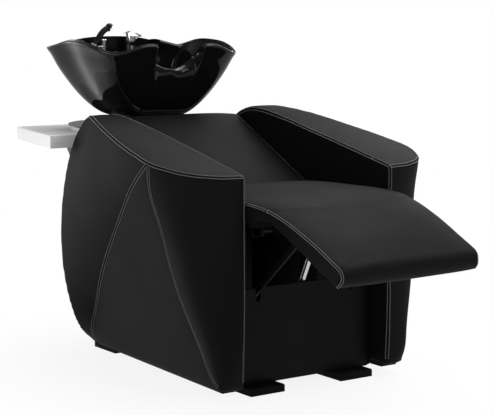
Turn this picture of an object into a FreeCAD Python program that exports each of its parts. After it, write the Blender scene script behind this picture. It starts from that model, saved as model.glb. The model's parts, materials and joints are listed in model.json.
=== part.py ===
import FreeCAD, Part
import math
import os

# Hair washing bed: an upholstered armchair with a raised legrest and a ceramic basin behind it.
# Millimetres, +Z up, +X to the sitter's left as seen from the front, +Y towards the basin.
# Lengths along Y are laid off from the front of the arms, and save() moves every piece so that
# the origin is the centre of the four floor bolts, on the floor.

V = FreeCAD.Vector
AXIS_X = V(1, 0, 0)
AXIS_Y = V(0, 1, 0)
AXIS_Z = V(0, 0, 1)

# Clearances and overruns
running_gap = 0.05
seat_gap = 0.3
overrun = 20.0

# Arms
inner_half_width = 260.0
arm_peak_thickness = 216.0
arm_length = 850.0
arm_underside = 32.0
arm_front_height = 634.0
arm_rear_height = 782.0
arm_loft_height = 810.0
arm_corner_run = 22.0
arm_base_thickness = 9.0
arm_base_inset = 14.0

# Heights of the arm's sections, and its outline in each one: front corner, front bulge, front seam,
# rear seam, rear bulge and rear corner, as shares of the peak thickness and of the arm's length.
arm_level_shares = (0.0395, 0.160, 0.321, 0.494, 0.667, 0.830, 0.914, 1.0)
arm_front_shares = (0.010, 0.005, 0.0, 0.0, 0.0, 0.0, 0.0, 0.0)
arm_front_bulge_shares = (
    (0.185, 0.014), (0.407, 0.024), (0.500, 0.033), (0.601, 0.053),
    (0.685, 0.073), (0.773, 0.066), (0.797, 0.066), (0.806, 0.066))
arm_front_seam_shares = (
    (0.332, 0.019), (0.416, 0.092), (0.559, 0.153), (0.709, 0.186),
    (0.857, 0.208), (0.996, 0.193), (1.000, 0.176), (1.000, 0.165))
arm_rear_seam_shares = (
    (0.163, 0.939), (0.277, 0.885), (0.440, 0.760), (0.630, 0.598),
    (0.819, 0.412), (1.000, 0.208), (1.009, 0.191), (1.009, 0.179))
arm_rear_bulge_shares = (
    (0.134, 0.960), (0.357, 0.935), (0.548, 0.872), (0.687, 0.790),
    (0.775, 0.704), (0.793, 0.600), (0.731, 0.615), (0.630, 0.655))
arm_rear_corner_shares = (0.070, 0.416, 0.559, 0.597, 0.533, 0.374, 0.240, 0.101)
arm_corner_depth_share = 0.984
arm_top_shares = (
    (0.0, 0.811), (0.235, 0.867), (0.471, 0.921), (0.706, 0.968), (0.776, 0.978), (0.831, 0.981),
    (0.871, 0.974), (0.908, 0.962), (0.941, 0.944), (0.971, 0.910), (0.991, 0.863), (1.0, 0.806))

# Feet and base frame
foot_width = 119.0
foot_height = 23.0
foot_chamfer = 3.0
foot_front_length = 138.0
foot_rear_length = 133.0
foot_front_start = 27.0
foot_rear_setback = 118.0
foot_front_inner = 103.0
foot_rear_inner = 139.0
floor_bolt_half_spacing = 209.0
floor_bolt_front = 120.0
floor_bolt_rear_setback = 50.0
floor_bolt_radius = 5.5
tube_wall = 2.5
rail_width = 50.0
rail_height = 40.0
rail_centre = 170.0
rail_start = 76.0
cross_width = 40.0
cross_height = 30.0
cross_front = 150.0
cross_middle = 400.0
cross_rear = 690.0
upright_size = 40.0
upright_front = 250.0
upright_rear = 640.0

# Cheek plates between frame and arms
cheek_thickness = 6.0
cheek_start = 78.0
cheek_end = 790.0
cheek_bottom = 40.0
cheek_top = 458.0
cheek_flange = 22.0
cheek_flange_thickness = 4.0
cheek_window_radius = 28.0
cheek_window_starts = (310.0, 480.0)
cheek_window_length = 120.0
cheek_window_bottom = 130.0
cheek_window_top = 400.0
cheek_rear_cut = 150.0
bolt_radius = 5.0
bolt_head_radius = 8.5
bolt_head_height = 5.5
arm_bolt_length = 30.0
arm_bolt_places = ((150.0, 110.0), (150.0, 420.0), (740.0, 110.0), (620.0, 420.0))

# Front panel
panel_half_width = 236.0
panel_front = 68.0
panel_thickness = 2.0
panel_top = 303.5
panel_side_flange = 15.0
slot_centre = 168.0
slot_width = 14.0
slot_depth = 39.5
screw_radius = 2.5
screw_head_radius = 4.0
screw_head_height = 2.2
screw_heights = (60.0, 275.0)

# Seat and backrest
seat_half_width = 257.0
seat_underside = 507.0
seat_front = -40.0
seat_nose_front = -56.0
seat_nose_height = 528.0
seat_lip_front = -45.0
seat_lip_height = 553.0
seat_rear = 375.0
seat_rear_height = 546.0
seat_middle_height = 562.0
seat_middle = 150.0
seat_rear_foot = 394.0
seat_crown = 15.0
cushion_edge_drop = 7.0
cushion_edge_inset = 5.0
cushion_end_share = 0.3
board_thickness = 15.0
board_side_inset = 12.0
seat_board_front = -34.0
seat_board_rear = 396.0
back_start = 385.0
back_start_height = 548.0
back_angle = 26.4
back_length = 440.0
back_thickness = 58.0
back_head = 24.0
back_crown = 12.0
back_board_start = 24.0
back_board_end = 425.0
seat_rail_size = 30.0
seat_rail_centre = 220.0
seat_rail_front = 0.0
seat_cross_front = 45.0
seat_cross_rear = 395.0
back_cross_place = 385.0

# Legrest, drawn as the photograph shows it, raised
leg_half_width = 250.0
leg_rear = -62.0
leg_rear_height = 551.0
leg_rear_foot = -66.0
leg_rear_foot_height = 530.0
leg_top_middle = -205.0
leg_top_middle_height = 514.0
leg_tip = -385.0
leg_tip_height = 434.0
leg_nose = -414.0
leg_nose_height = 402.0
leg_toe = -391.0
leg_toe_height = 377.0
leg_underside_rear = -140.0
leg_slope = 26.3
leg_crown = 14.0
leg_board_thickness = 12.0
leg_board_front = -372.0
leg_board_side_inset = 26.0
leg_hinge_back = 20.0
leg_hinge_drop = 29.0
leg_shaft_radius = 8.0
leg_boss_radius = 13.0
leg_bar_centre = 150.0
leg_bar_thickness = 6.0
leg_bar_tip = -350.0
leg_bar_tip_depth = 13.0
leg_bar_knee = -45.0
leg_bar_root_depth = 24.0
leg_tie_width = 30.0
leg_tie_thickness = 4.0
hinge_plate_thickness = 6.0
hinge_plate_rise = 16.0
bracket_bolt_radius = 3.0
bracket_bolt_head_radius = 5.5
bracket_bolt_head_height = 4.0
bracket_bolt_places = ((6.5, 6.0), (36.0, 8.0))

# Stay arms that pass through the panel's slots
stay_pivot_back = -130.0
stay_pivot_height = 467.0
stay_angle = 40.4
stay_width = 18.0
stay_thickness = 8.0
stay_length = 330.0
stay_lug_radius = 12.0
stay_shaft_radius = 6.0
stay_collar_radius = 10.0
stay_collar_width = 4.0

# Lift actuator
actuator_anchor_back = 170.0
actuator_anchor_height = 124.0
actuator_pin_back = -2.3
actuator_pin_height = 480.0
actuator_pin_radius = 4.0
actuator_rod_radius = 8.5
actuator_neck_radius = 6.0
actuator_neck_length = 20.0
actuator_eye_radius = 8.0
actuator_eye_width = 16.0
actuator_slot_run = 4.0
linkage_gap = 0.3
actuator_tube_radius = 11.5
actuator_tube_start = 17.0
actuator_tube_length = 169.0
actuator_collar_radius = 12.5
actuator_collar_length = 8.0
actuator_nose_radius = 10.5
actuator_nose_length = 12.0
actuator_notch_half_width = 22.0
actuator_rod_foot = 60.0
actuator_bore_foot = 30.0
actuator_motor_radius = 21.0
actuator_motor_length = 96.0
actuator_motor_offset = 40.0
actuator_gearbox_height = 34.0
lever_thickness = 4.0
lever_gap = 1.5
lever_radius = 8.5
anchor_plate_thickness = 5.0
anchor_plate_width = 30.0

# Rear post, shroud, shelf and cover
post_size = 70.0
post_setback = 110.0
post_top = 690.0
post_arm_size = 30.0
post_arm_reach = 220.0
shroud_wall = 3.0
shroud_flange = 24.0
shroud_top = 657.0
shroud_bottom = 70.0
shroud_setback = 8.0
shroud_knee_height = 430.0
shroud_top_half_width = 294.0
shroud_top_depth = 350.0
shroud_knee_half_width = 212.0
shroud_knee_depth = 250.0
shroud_bottom_half_width = 120.0
shroud_bottom_depth = 160.0
shroud_taper_share = 0.70
shroud_corner_share = 0.32
shelf_setback = 3.0
shelf_front_half_width = 415.0
shelf_rear_half_width = 325.0
shelf_depth = 412.0
shelf_thickness = 42.0
shelf_edge_radius = 3.0
cover_half_width = 293.0
cover_setback = 9.0
cover_depth = 308.0
cover_thickness = 5.0
cover_riser = 14.0
cover_inset = 12.0
cover_taper_share = 0.733
cover_corner_share = 0.40
opening_half_width = 108.0
opening_setback = 31.0
opening_depth = 200.0

# Basin
basin_base_height = 740.0
basin_half_width = 275.0
basin_front_reach = 238.0
basin_rear_reach = 245.0
basin_rim_rise = 263.0
basin_base_half_width = 72.0
basin_base_front_reach = 84.0
basin_base_rear_reach = 105.0
basin_wall = 13.0
basin_lip = 5.0
basin_floor = 14.0
basin_hollow_power = 1.8
basin_deck_setback = 145.0
basin_deck_rise = 205.0
basin_deck_half_width = 150.0
basin_deck_depth = 75.0
basin_deck_thickness = 16.0
basin_pocket_setback = 17.0
basin_pocket_depth = 44.0
basin_pocket_half_width = 105.0
basin_drain_setback = 76.0
basin_drain_radius = 22.0
tap_half_spacing = 57.0
tap_setback = 43.0
tap_hole_radius = 16.0
# Right half of the rim from the neck notch round to the back: across, along and up, as shares of the
# half width, of the reach to the front or back, and of the rim's rise over the base.
rim_shares = (
    (0.0, -0.760, 0.604), (0.218, -0.744, 0.673), (0.305, -0.820, 0.779), (0.345, -1.0, 0.901),
    (0.444, -1.0, 0.913), (0.629, -0.962, 0.871), (0.833, -0.849, 0.810), (0.975, -0.504, 0.893),
    (1.0, -0.126, 0.947), (0.953, 0.327, 0.943), (0.890, 0.910, 0.878), (0.727, 0.947, 0.909),
    (0.545, 0.980, 0.951), (0.0, 1.0, 0.992))
# The same rim with the neck notch filled in: the bowl below the notch follows it.
full_rim_shares = (
    (0.0, -0.960, 0.870), (0.218, -0.975, 0.880), (0.305, -0.985, 0.890), (0.380, -0.990, 0.895))
base_ring_shares = (
    (0.0, -1.0), (0.25, -1.0), (0.42, -1.0), (0.55, -1.0), (0.68, -1.0), (0.82, -1.0), (0.97, -0.85),
    (1.0, -0.45), (1.0, 0.0), (1.0, 0.45), (0.94, 0.88), (0.76, 0.96), (0.55, 1.0), (0.0, 1.0))
outer_ring_shares = (1.0, 0.84, 0.66, 0.48, 0.30, 0.14, 0.04)
inner_ring_shares = (0.06, 0.18, 0.36, 0.56, 0.74, 0.88)

# Tilt hinge under the basin
tilt_drop = 28.0
tilt_pin_radius = 7.0
saddle_thickness = 8.0
saddle_half_width = 66.0
saddle_half_depth = 46.0
saddle_ear_thickness = 6.0
saddle_ear_half_gap = 40.0
saddle_ear_radius = 14.0
cradle_thickness = 6.0
cradle_plate = 5.0
pin_head_radius = 10.0
pin_head_length = 4.0

# Waste
waste_flange_radius = 30.0
waste_flange_height = 3.0
waste_slot_count = 6
waste_slot_radius = 3.0
waste_slot_circle = 11.0
waste_tail_radius = 20.0
waste_tail_wall = 2.0
waste_tail_length = 107.0
waste_spigot_radius = 19.0
waste_spigot_length = 60.0
waste_nut_radius = 30.0
waste_nut_height = 12.0

# Mixer
mixer_flange_radius = 27.0
mixer_flange_height = 6.0
mixer_body_radius = 22.0
mixer_body_height = 46.0
mixer_waist_radius = 20.0
mixer_shank_radius = 14.0
mixer_shank_length = 46.0
mixer_cap_radius = 22.0
mixer_cap_height = 10.0
mixer_spindle_radius = 8.0
mixer_spindle_height = 14.0
lever_dome_radius = 23.0
lever_dome_height = 20.0
lever_crown_height = 10.0
lever_reach = 60.0
lever_tip_half_width = 8.0
lever_tip_thickness = 6.0
lever_pivot_rise = 6.0
lever_pivot_radius = 3.0
lever_lift = 25.0
tail_radius = 5.0
tail_length = 60.0
tail_ferrule_radius = 6.0
tail_ferrule_length = 38.0
tail_half_spacing = 7.5

# Hand shower, leaning in a clip beside a short post
holder_across = 46.4
holder_setback = 51.0
holder_radius = 11.5
holder_height = 48.0
holder_foot_radius = 15.0
holder_foot_height = 4.0
holder_edge = 2.0
holder_shank_radius = 8.0
holder_hole_radius = 9.0
clip_radius = 14.0
clip_length = 18.0
clip_rise = 15.0
clip_bar_radius = 5.5
shower_setback = 28.0
shower_foot_across = 107.5
shower_foot_rise = 7.0
shower_tilt = 33.0
shower_grip_length = 63.0
shower_grip_radius = 10.0
shower_bend_radius = 71.0
shower_bend_turn = 39.4
shower_head_radius = 14.0
shower_face_radius = 11.5
shower_face_height = 3.0
shower_face_turn = 50.0
shower_face_tilt = 38.0

# Derived places
foot_rear_start = arm_length - foot_rear_setback
floor_bolt_rear = arm_length - floor_bolt_rear_setback
shelf_front = arm_length + shelf_setback
shroud_front = arm_length + shroud_setback
cover_front = shelf_front + cover_setback
opening_front = shelf_front + opening_setback
opening_rear = opening_front + opening_depth
post_back = arm_length + post_setback
basin_centre_back = post_back
tilt_back = post_back
tilt_height = basin_base_height - tilt_drop
basin_deck_front = basin_centre_back + basin_deck_setback
basin_deck_rear = basin_deck_front + basin_deck_depth
basin_deck_height = basin_base_height + basin_deck_rise
basin_pocket_front = basin_deck_front + basin_pocket_setback
basin_pocket_rear = basin_pocket_front + basin_pocket_depth
basin_drain_back = basin_centre_back + basin_drain_setback
tap_back = basin_deck_front + tap_setback
holder_back = basin_deck_front + holder_setback
shower_back = basin_deck_front + shower_setback
leg_hinge_height = seat_underside - leg_hinge_drop
hinge_plate_reach = seat_cross_front - seat_rail_front - seat_gap
datum_back = (floor_bolt_front + floor_bolt_rear) / 2
frame_top = foot_height + rail_height
cross_top = frame_top + cross_height
seat_board_bottom = seat_underside - board_thickness
seat_rail_bottom = seat_board_bottom - seat_rail_size
rail_end = post_back + post_size / 2
cheek_inner = inner_half_width - cheek_thickness
cover_bottom = shroud_top + seat_gap + shelf_thickness
deck_top = basin_deck_height
screw_across = cheek_inner - cheek_flange / 2

back_direction = V(0, math.cos(math.radians(back_angle)), math.sin(math.radians(back_angle)))
back_normal = V(0, -math.sin(math.radians(back_angle)), math.cos(math.radians(back_angle)))
leg_direction = V(0, -math.cos(math.radians(leg_slope)), -math.sin(math.radians(leg_slope)))
leg_normal = V(0, -math.sin(math.radians(leg_slope)), math.cos(math.radians(leg_slope)))
stay_direction = V(0, math.cos(math.radians(stay_angle)), -math.sin(math.radians(stay_angle)))
shower_direction = V(math.sin(math.radians(shower_tilt)), 0, math.cos(math.radians(shower_tilt)))


def save(name, shape):
    placed = shape.copy()
    placed.translate(V(0, -datum_back, 0))
    placed.exportStep("parts/" + name + ".step")


def box(x_low, x_high, y_low, y_high, z_low, z_high):
    return Part.makeBox(x_high - x_low, y_high - y_low, z_high - z_low, V(x_low, y_low, z_low))


def mirrored(shape):
    return shape.mirror(V(0, 0, 0), AXIS_X)


def tube_box(x_low, x_high, y_low, y_high, z_low, z_high, along):
    """A rectangular tube, open along one axis."""
    outer = box(x_low, x_high, y_low, y_high, z_low, z_high)
    grow = {axis: (-tube_wall if axis != along else overrun) for axis in "xyz"}
    inner = box(
        x_low - grow["x"], x_high + grow["x"], y_low - grow["y"], y_high + grow["y"],
        z_low - grow["z"], z_high + grow["z"])
    return outer.cut(inner)


def disc(centre, radius, length, axis):
    """A cylinder that starts at its centre point."""
    return Part.makeCylinder(radius, length, centre, axis)


def cross_pin(x_low, x_high, back, height, radius):
    """A round bar along X."""
    return disc(V(x_low, back, height), radius, x_high - x_low, AXIS_X)


def side_profile(points, x_low, x_high):
    """A plate whose outline is drawn in the YZ plane."""
    corners = [V(x_low, back, height) for back, height in points]
    face = Part.Face(Part.makePolygon(corners + corners[:1]))
    return face.extrude(V(x_high - x_low, 0, 0))


def plan_profile(points, z_low, z_high):
    """A plate whose outline is drawn in the XY plane."""
    corners = [V(across, back, z_low) for across, back in points]
    face = Part.Face(Part.makePolygon(corners + corners[:1]))
    return face.extrude(V(0, 0, z_high - z_low))


def spline(points):
    curve = Part.BSplineCurve()
    curve.interpolate(points)
    return curve.toShape()


def line(start, end):
    return Part.LineSegment(start, end).toShape()


def arc(start, middle, end):
    return Part.Arc(start, middle, end).toShape()


def link(start, end, radius, x_low, x_high):
    """A flat bar with round ends between two points (back, height)."""
    run = V(0, end[0] - start[0], end[1] - start[1])
    side = AXIS_X.cross(run).normalize() * radius
    first = V(x_low, start[0], start[1])
    last = V(x_low, end[0], end[1])
    corners = [first + side, last + side, last - side, first - side]
    bar = Part.Face(Part.makePolygon(corners + corners[:1])).extrude(V(x_high - x_low, 0, 0))
    ends = [cross_pin(x_low, x_high, place[0], place[1], radius) for place in (start, end)]
    return bar.fuse(ends).removeSplitter()


def arm_section(level):
    """One horizontal outline of the right arm, seams at its corners."""
    height = arm_level_shares[level] * arm_loft_height

    def place(shares):
        return V(inner_half_width + shares[0] * arm_peak_thickness, shares[1] * arm_length, height)

    front_corner = V(inner_half_width, arm_front_shares[level] * arm_length, height)
    front_seam = place(arm_front_seam_shares[level])
    rear_seam = place(arm_rear_seam_shares[level])
    rear_corner = place((arm_rear_corner_shares[level], arm_corner_depth_share))
    rear_end = V(rear_corner.x - arm_corner_run, arm_length, height)
    rear_inner = V(inner_half_width, arm_length, height)
    edges = [
        spline([front_corner, place(arm_front_bulge_shares[level]), front_seam]),
        line(front_seam, rear_seam),
        spline([rear_seam, place(arm_rear_bulge_shares[level]), rear_corner]),
        line(rear_corner, rear_end),
        line(rear_end, rear_inner),
        line(rear_inner, front_corner),
    ]
    return Part.Wire(edges)


def arm_top_cutter():
    """Everything above the arm's rising top line."""
    curve = [V(0, along * arm_length, up * arm_rear_height) for along, up in arm_top_shares]
    start = curve[0]
    end = curve[-1]
    before = V(0, start.y - overrun, start.z - overrun * (curve[1].z - start.z) / curve[1].y)
    behind = V(0, end.y + overrun, end.z - overrun)
    roof = arm_loft_height + overrun
    edges = [
        line(before, start),
        spline(curve),
        line(end, behind),
        line(behind, V(0, behind.y, roof)),
        line(V(0, behind.y, roof), V(0, before.y, roof)),
        line(V(0, before.y, roof), before),
    ]
    return Part.Face(Part.Wire(edges)).extrude(V(inner_half_width + arm_peak_thickness + overrun, 0, 0))


def arm():
    body = Part.makeLoft([arm_section(level) for level in range(len(arm_level_shares))], True, False)
    cuts = [arm_top_cutter()]
    for back, height in arm_bolt_places:
        cuts.append(cross_pin(
            inner_half_width - overrun, inner_half_width + arm_bolt_length, back, height, bolt_radius))
    return body.cut(cuts)


def arm_base():
    """The plywood base under the arm's upholstery."""
    outline = []
    for shares in (arm_front_seam_shares[0], arm_rear_seam_shares[0], (arm_rear_corner_shares[0], 1.0)):
        across = inner_half_width + shares[0] * arm_peak_thickness
        outline.append((across - arm_base_inset, shares[1] * arm_length))
    front = outline[0][1] + arm_base_inset
    rear = arm_length - arm_base_inset
    points = [
        (inner_half_width, front), (outline[0][0], front), outline[1], (outline[2][0], rear),
        (inner_half_width, rear)]
    top = arm_level_shares[0] * arm_loft_height
    return plan_profile(points, top - arm_base_thickness, top)


def foot(front, inner, length):
    block = box(inner, inner + foot_width, front, front + length, 0, foot_height)
    edges = [edge for edge in block.Edges if edge.BoundBox.ZMin > foot_height / 2]
    block = block.makeChamfer(foot_chamfer, edges)
    back = floor_bolt_front if front < datum_back else floor_bolt_rear
    hole = disc(
        V(floor_bolt_half_spacing, back, -overrun), floor_bolt_radius, foot_height + 2 * overrun, AXIS_Z)
    return block.cut(hole)


def base_frame():
    half = rail_width / 2
    members = []
    for side in (-rail_centre, rail_centre):
        members.append(tube_box(
            side - half, side + half, rail_start, rail_end, foot_height, frame_top, "y"))
    for start in (cross_front, cross_middle, cross_rear):
        members.append(tube_box(
            -cheek_inner, cheek_inner, start, start + cross_width, frame_top, cross_top, "x"))
    members.append(tube_box(
        -rail_centre + half, rail_centre - half, rail_end - post_size, rail_end, foot_height, frame_top,
        "x"))
    for start in (upright_front, upright_rear):
        for side in (-1, 1):
            low, high = sorted((side * (cheek_inner - upright_size), side * cheek_inner))
            members.append(tube_box(
                low, high, start, start + upright_size, frame_top, seat_rail_bottom, "z"))
    for side in (-1, 1):
        low, high = sorted((side * (rail_centre + half), side * cheek_inner))
        for start in (upright_front, upright_rear):
            members.append(tube_box(
                low, high, start, start + upright_size, foot_height + tube_wall, frame_top, "x"))
    frame = members[0].fuse(members[1:] + back_struts())
    return frame.removeSplitter()


def cheek_plate():
    """A folded steel plate that carries the arm; its front flange closes the gap beside the panel."""
    rise = cheek_top - cheek_rear_cut
    outline = [
        (cheek_start, cheek_bottom), (cheek_end, cheek_bottom), (cheek_end, rise),
        (cheek_end - cheek_rear_cut, cheek_top), (cheek_start, cheek_top)]
    plate = side_profile(outline, cheek_inner, inner_half_width)
    flange = box(
        cheek_inner - cheek_flange, cheek_inner, cheek_start, cheek_start + cheek_flange_thickness,
        cheek_bottom, panel_top)
    plate = plate.fuse(flange)
    for start in cheek_window_starts:
        window = box(
            cheek_inner - overrun, inner_half_width + overrun, start, start + cheek_window_length,
            cheek_window_bottom, cheek_window_top)
        edges = [edge for edge in window.Edges if edge.BoundBox.XLength > cheek_thickness]
        plate = plate.cut(window.makeFillet(cheek_window_radius, edges))
    for back, height in arm_bolt_places:
        plate = plate.cut(cross_pin(
            cheek_inner - overrun, inner_half_width + overrun, back, height, bolt_radius))
    return plate.removeSplitter()


def arm_bolt(back, height):
    shank = cross_pin(cheek_inner, inner_half_width + arm_bolt_length, back, height, bolt_radius)
    head = cross_pin(cheek_inner - bolt_head_height, cheek_inner, back, height, bolt_head_radius)
    return shank.fuse(head)


def arm_bolts():
    bolts = [arm_bolt(back, height) for back, height in arm_bolt_places]
    return Part.makeCompound(bolts + [mirrored(bolt) for bolt in bolts])


def panel_slot(side):
    """The slot for a stay arm, open at the panel's top edge and round below."""
    low = side * slot_centre - slot_width / 2
    bottom = panel_top - slot_depth + slot_width / 2
    cut = box(
        low, low + slot_width, panel_front - overrun, cheek_start + overrun, bottom, panel_top + overrun)
    end = disc(
        V(side * slot_centre, panel_front - overrun, bottom), slot_width / 2,
        cheek_start - panel_front + 2 * overrun, AXIS_Y)
    return cut.fuse(end)


def front_panel():
    """A folded tray whose side flanges lie back in the shadow beside it."""
    tray = box(-panel_half_width, panel_half_width, panel_front, cheek_start, foot_height, panel_top)
    inside = box(
        -panel_half_width + panel_thickness, panel_half_width - panel_thickness,
        panel_front + panel_thickness, cheek_start + overrun, foot_height - overrun,
        panel_top - panel_thickness)
    panel = tray.cut(inside)
    flanges = []
    for side in (-1, 1):
        low, high = sorted((
            side * (panel_half_width - panel_thickness), side * (panel_half_width + panel_side_flange)))
        flange = box(low, high, cheek_start - panel_thickness, cheek_start, foot_height, panel_top)
        for height in screw_heights:
            flange = flange.cut(disc(
                V(side * screw_across, panel_front, height), screw_radius, cheek_start, AXIS_Y))
        flanges.append(flange)
    panel = panel.fuse(flanges).removeSplitter()
    notch = box(
        -actuator_notch_half_width, actuator_notch_half_width, panel_front + panel_thickness,
        cheek_start + overrun, panel_top - overrun, panel_top + overrun)
    return panel.cut([notch] + [panel_slot(side) for side in (-1, 1)])


def panel_screw(side, height):
    seat = cheek_start - panel_thickness
    head = disc(
        V(side * screw_across, seat - screw_head_height, height), screw_head_radius, screw_head_height,
        AXIS_Y)
    shank = disc(
        V(side * screw_across, seat, height), screw_radius, panel_thickness + cheek_flange_thickness,
        AXIS_Y)
    return head.fuse(shank)


def panel_screws():
    return Part.makeCompound([panel_screw(side, height) for side in (-1, 1) for height in screw_heights])


def drilled_cheek_plate():
    plate = cheek_plate()
    for height in screw_heights:
        plate = plate.cut(disc(
            V(screw_across, cheek_start - overrun, height), screw_radius,
            cheek_flange_thickness + 2 * overrun, AXIS_Y))
    return plate


def cushion(half_width, outline):
    """A crowned cushion: outlines across its width, highest in the middle, drawn in at the sides."""
    stations = (-1.0, -0.94, -0.55, 0.0, 0.55, 0.94, 1.0)
    wires = []
    for share in stations:
        crown_share = 1.0 - share * share
        edge_share = 1.0 if abs(share) == 1.0 else 0.0
        wires.append(outline(share * half_width, crown_share, edge_share))
    return Part.makeLoft(wires, True, False)


def seat_outline(across, crown_share, edge_share):
    top = crown_share * seat_crown - edge_share * cushion_edge_drop
    inset = edge_share * cushion_edge_inset
    foot_rear = V(across, seat_rear_foot - inset, seat_underside)
    foot_front = V(across, seat_front + inset, seat_underside)
    lip = V(across, seat_lip_front + inset, seat_lip_height + top)
    rear = V(across, seat_rear - inset, seat_rear_height + top * cushion_end_share)
    return Part.Wire([
        line(foot_rear, foot_front),
        arc(foot_front, V(across, seat_nose_front + inset, seat_nose_height), lip),
        arc(lip, V(across, seat_middle, seat_middle_height + top), rear),
        line(rear, foot_rear)])


def back_point(along, up):
    """A point on the backrest's side view, along its slope and square to it."""
    start = V(0, back_start, back_start_height)
    return start + back_direction * along + back_normal * up


def back_outline(across, crown_share, edge_share):
    top = crown_share * back_crown - edge_share * cushion_edge_drop
    inset = edge_share * cushion_edge_inset
    shift = V(across, 0, 0)
    foot = back_point(inset, top * cushion_end_share)
    head = back_point(back_length - inset, top)
    head_tip = back_point(back_length + back_head - inset, -back_thickness / 2)
    head_rear = back_point(back_length - inset, -back_thickness)
    foot_rear = back_point(inset, -back_thickness)
    return Part.Wire([
        arc(foot + shift, back_point(back_length / 2, 2 * top) + shift, head + shift),
        arc(head + shift, head_tip + shift, head_rear + shift),
        line(head_rear + shift, foot_rear + shift),
        line(foot_rear + shift, foot + shift)])


def leg_under_point(back):
    """Height of the legrest's flat underside."""
    return leg_toe_height + (back - leg_toe) * math.tan(math.radians(leg_slope))


def leg_outline(across, crown_share, edge_share):
    top = crown_share * leg_crown - edge_share * cushion_edge_drop
    inset = edge_share * cushion_edge_inset
    rear_foot = V(across, leg_rear_foot - inset, leg_rear_foot_height)
    rear = V(across, leg_rear - inset, leg_rear_height + top / 2)
    tip = V(across, leg_tip + inset, leg_tip_height + top)
    toe = V(across, leg_toe + inset, leg_under_point(leg_toe + inset))
    under = V(across, leg_underside_rear, leg_under_point(leg_underside_rear))
    return Part.Wire([
        arc(rear, V(across, leg_top_middle, leg_top_middle_height + top), tip),
        arc(tip, V(across, leg_nose + inset, leg_nose_height), toe),
        line(toe, under),
        line(under, rear_foot),
        line(rear_foot, rear)])


def seat_board():
    half = seat_half_width - board_side_inset
    return box(-half, half, seat_board_front, seat_board_rear, seat_board_bottom, seat_underside)


def backrest_board():
    half = seat_half_width - board_side_inset
    corners = [
        back_point(back_board_start, -back_thickness), back_point(back_board_end, -back_thickness),
        back_point(back_board_end, -back_thickness - board_thickness),
        back_point(back_board_start, -back_thickness - board_thickness)]
    return side_profile([(corner.y, corner.z) for corner in corners], -half, half)


def seat_rail(wall):
    """Side view of a seat rail and the back rail mitred to it, less a wall for the hollow."""
    lift = back_thickness + board_thickness
    mitre = seat_rail_size * math.tan(math.radians(back_angle / 2))
    upper = back_point(0, -lift)
    run = (seat_board_bottom - upper.z) / back_direction.z
    knee_top = upper + back_direction * run
    low = seat_rail_bottom + wall
    high = seat_board_bottom - wall
    shift = wall * math.tan(math.radians(back_angle / 2))
    end_top = back_point(back_board_end, -lift - wall)
    end_low = back_point(back_board_end, -lift - seat_rail_size + wall)
    return [
        (seat_rail_front, low), (knee_top.y + mitre - shift, low), (end_low.y, end_low.z),
        (end_top.y, end_top.z), (knee_top.y + shift, high), (seat_rail_front, high)]


def seat_frame():
    half = seat_rail_size / 2
    members = []
    for side in (-seat_rail_centre, seat_rail_centre):
        outer = side_profile(seat_rail(0), side - half, side + half)
        inner = side_profile(seat_rail(tube_wall), side - half + tube_wall, side + half - tube_wall)
        members.append(outer.cut(inner))
    reach = seat_rail_centre - half
    for start in (seat_cross_front, seat_cross_rear):
        members.append(tube_box(
            -reach, reach, start, start + seat_rail_size, seat_rail_bottom, seat_board_bottom, "x"))
    lift = back_thickness + board_thickness
    corners = [
        back_point(back_cross_place, -lift), back_point(back_cross_place + seat_rail_size, -lift),
        back_point(back_cross_place + seat_rail_size, -lift - seat_rail_size),
        back_point(back_cross_place, -lift - seat_rail_size)]
    members.append(side_profile([(corner.y, corner.z) for corner in corners], -reach, reach))
    frame = members[0].fuse(members[1:]).removeSplitter()
    bores = bracket_bolt_bores()
    return frame.cut(bores + [mirrored(bore) for bore in bores])


def back_struts():
    """Struts from the rear uprights to the back rails."""
    low = cheek_inner - upright_size
    struts = []
    lift = back_thickness + board_thickness + seat_rail_size
    slope = math.tan(math.radians(back_angle))
    rail = back_point(0, -lift)
    front = upright_rear
    rear = upright_rear + upright_size
    for side in (-1, 1):
        x_low, x_high = sorted((side * low, side * (low + seat_rail_size)))
        outline = [
            (front, seat_rail_bottom), (rear, seat_rail_bottom),
            (rear, rail.z + (rear - rail.y) * slope), (front, rail.z + (front - rail.y) * slope)]
        struts.append(side_profile(outline, x_low, x_high))
    return struts


def legrest_board():
    half = leg_half_width - leg_board_side_inset
    corners = []
    for back in (leg_underside_rear, leg_board_front):
        corners.append(V(0, back, leg_under_point(back)))
    lowered = [corner - leg_normal * leg_board_thickness for corner in reversed(corners)]
    outline = [(corner.y, corner.z) for corner in corners + lowered]
    return side_profile(outline, -half, half)


def leg_board_point(back, depth):
    """A point under the legrest board, so deep below it."""
    drop = (leg_board_thickness + depth) / math.cos(math.radians(leg_slope))
    return (back, leg_under_point(back) - drop)


def legrest_bar(centre):
    """A flat bar from the hinge shaft to the toe, with a lug for the stay shaft."""
    low = centre - leg_bar_thickness / 2
    high = centre + leg_bar_thickness / 2
    top = leg_hinge_height + leg_boss_radius
    bottom = leg_hinge_height - leg_boss_radius
    outline = [
        (leg_hinge_back, top), (leg_hinge_back, bottom),
        leg_board_point(leg_underside_rear, leg_bar_root_depth),
        leg_board_point(leg_bar_tip, leg_bar_tip_depth), leg_board_point(leg_bar_tip, 0),
        leg_board_point(leg_underside_rear, 0), (leg_bar_knee, top)]
    bar = side_profile(outline, low, high)
    boss = cross_pin(low, high, leg_hinge_back, leg_hinge_height, leg_boss_radius)
    lug = cross_pin(low, high, stay_pivot_back, stay_pivot_height, stay_lug_radius)
    bore = cross_pin(
        low - overrun, high + overrun, stay_pivot_back, stay_pivot_height, stay_shaft_radius + running_gap)
    return bar.fuse([boss, lug]).cut(bore)


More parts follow.
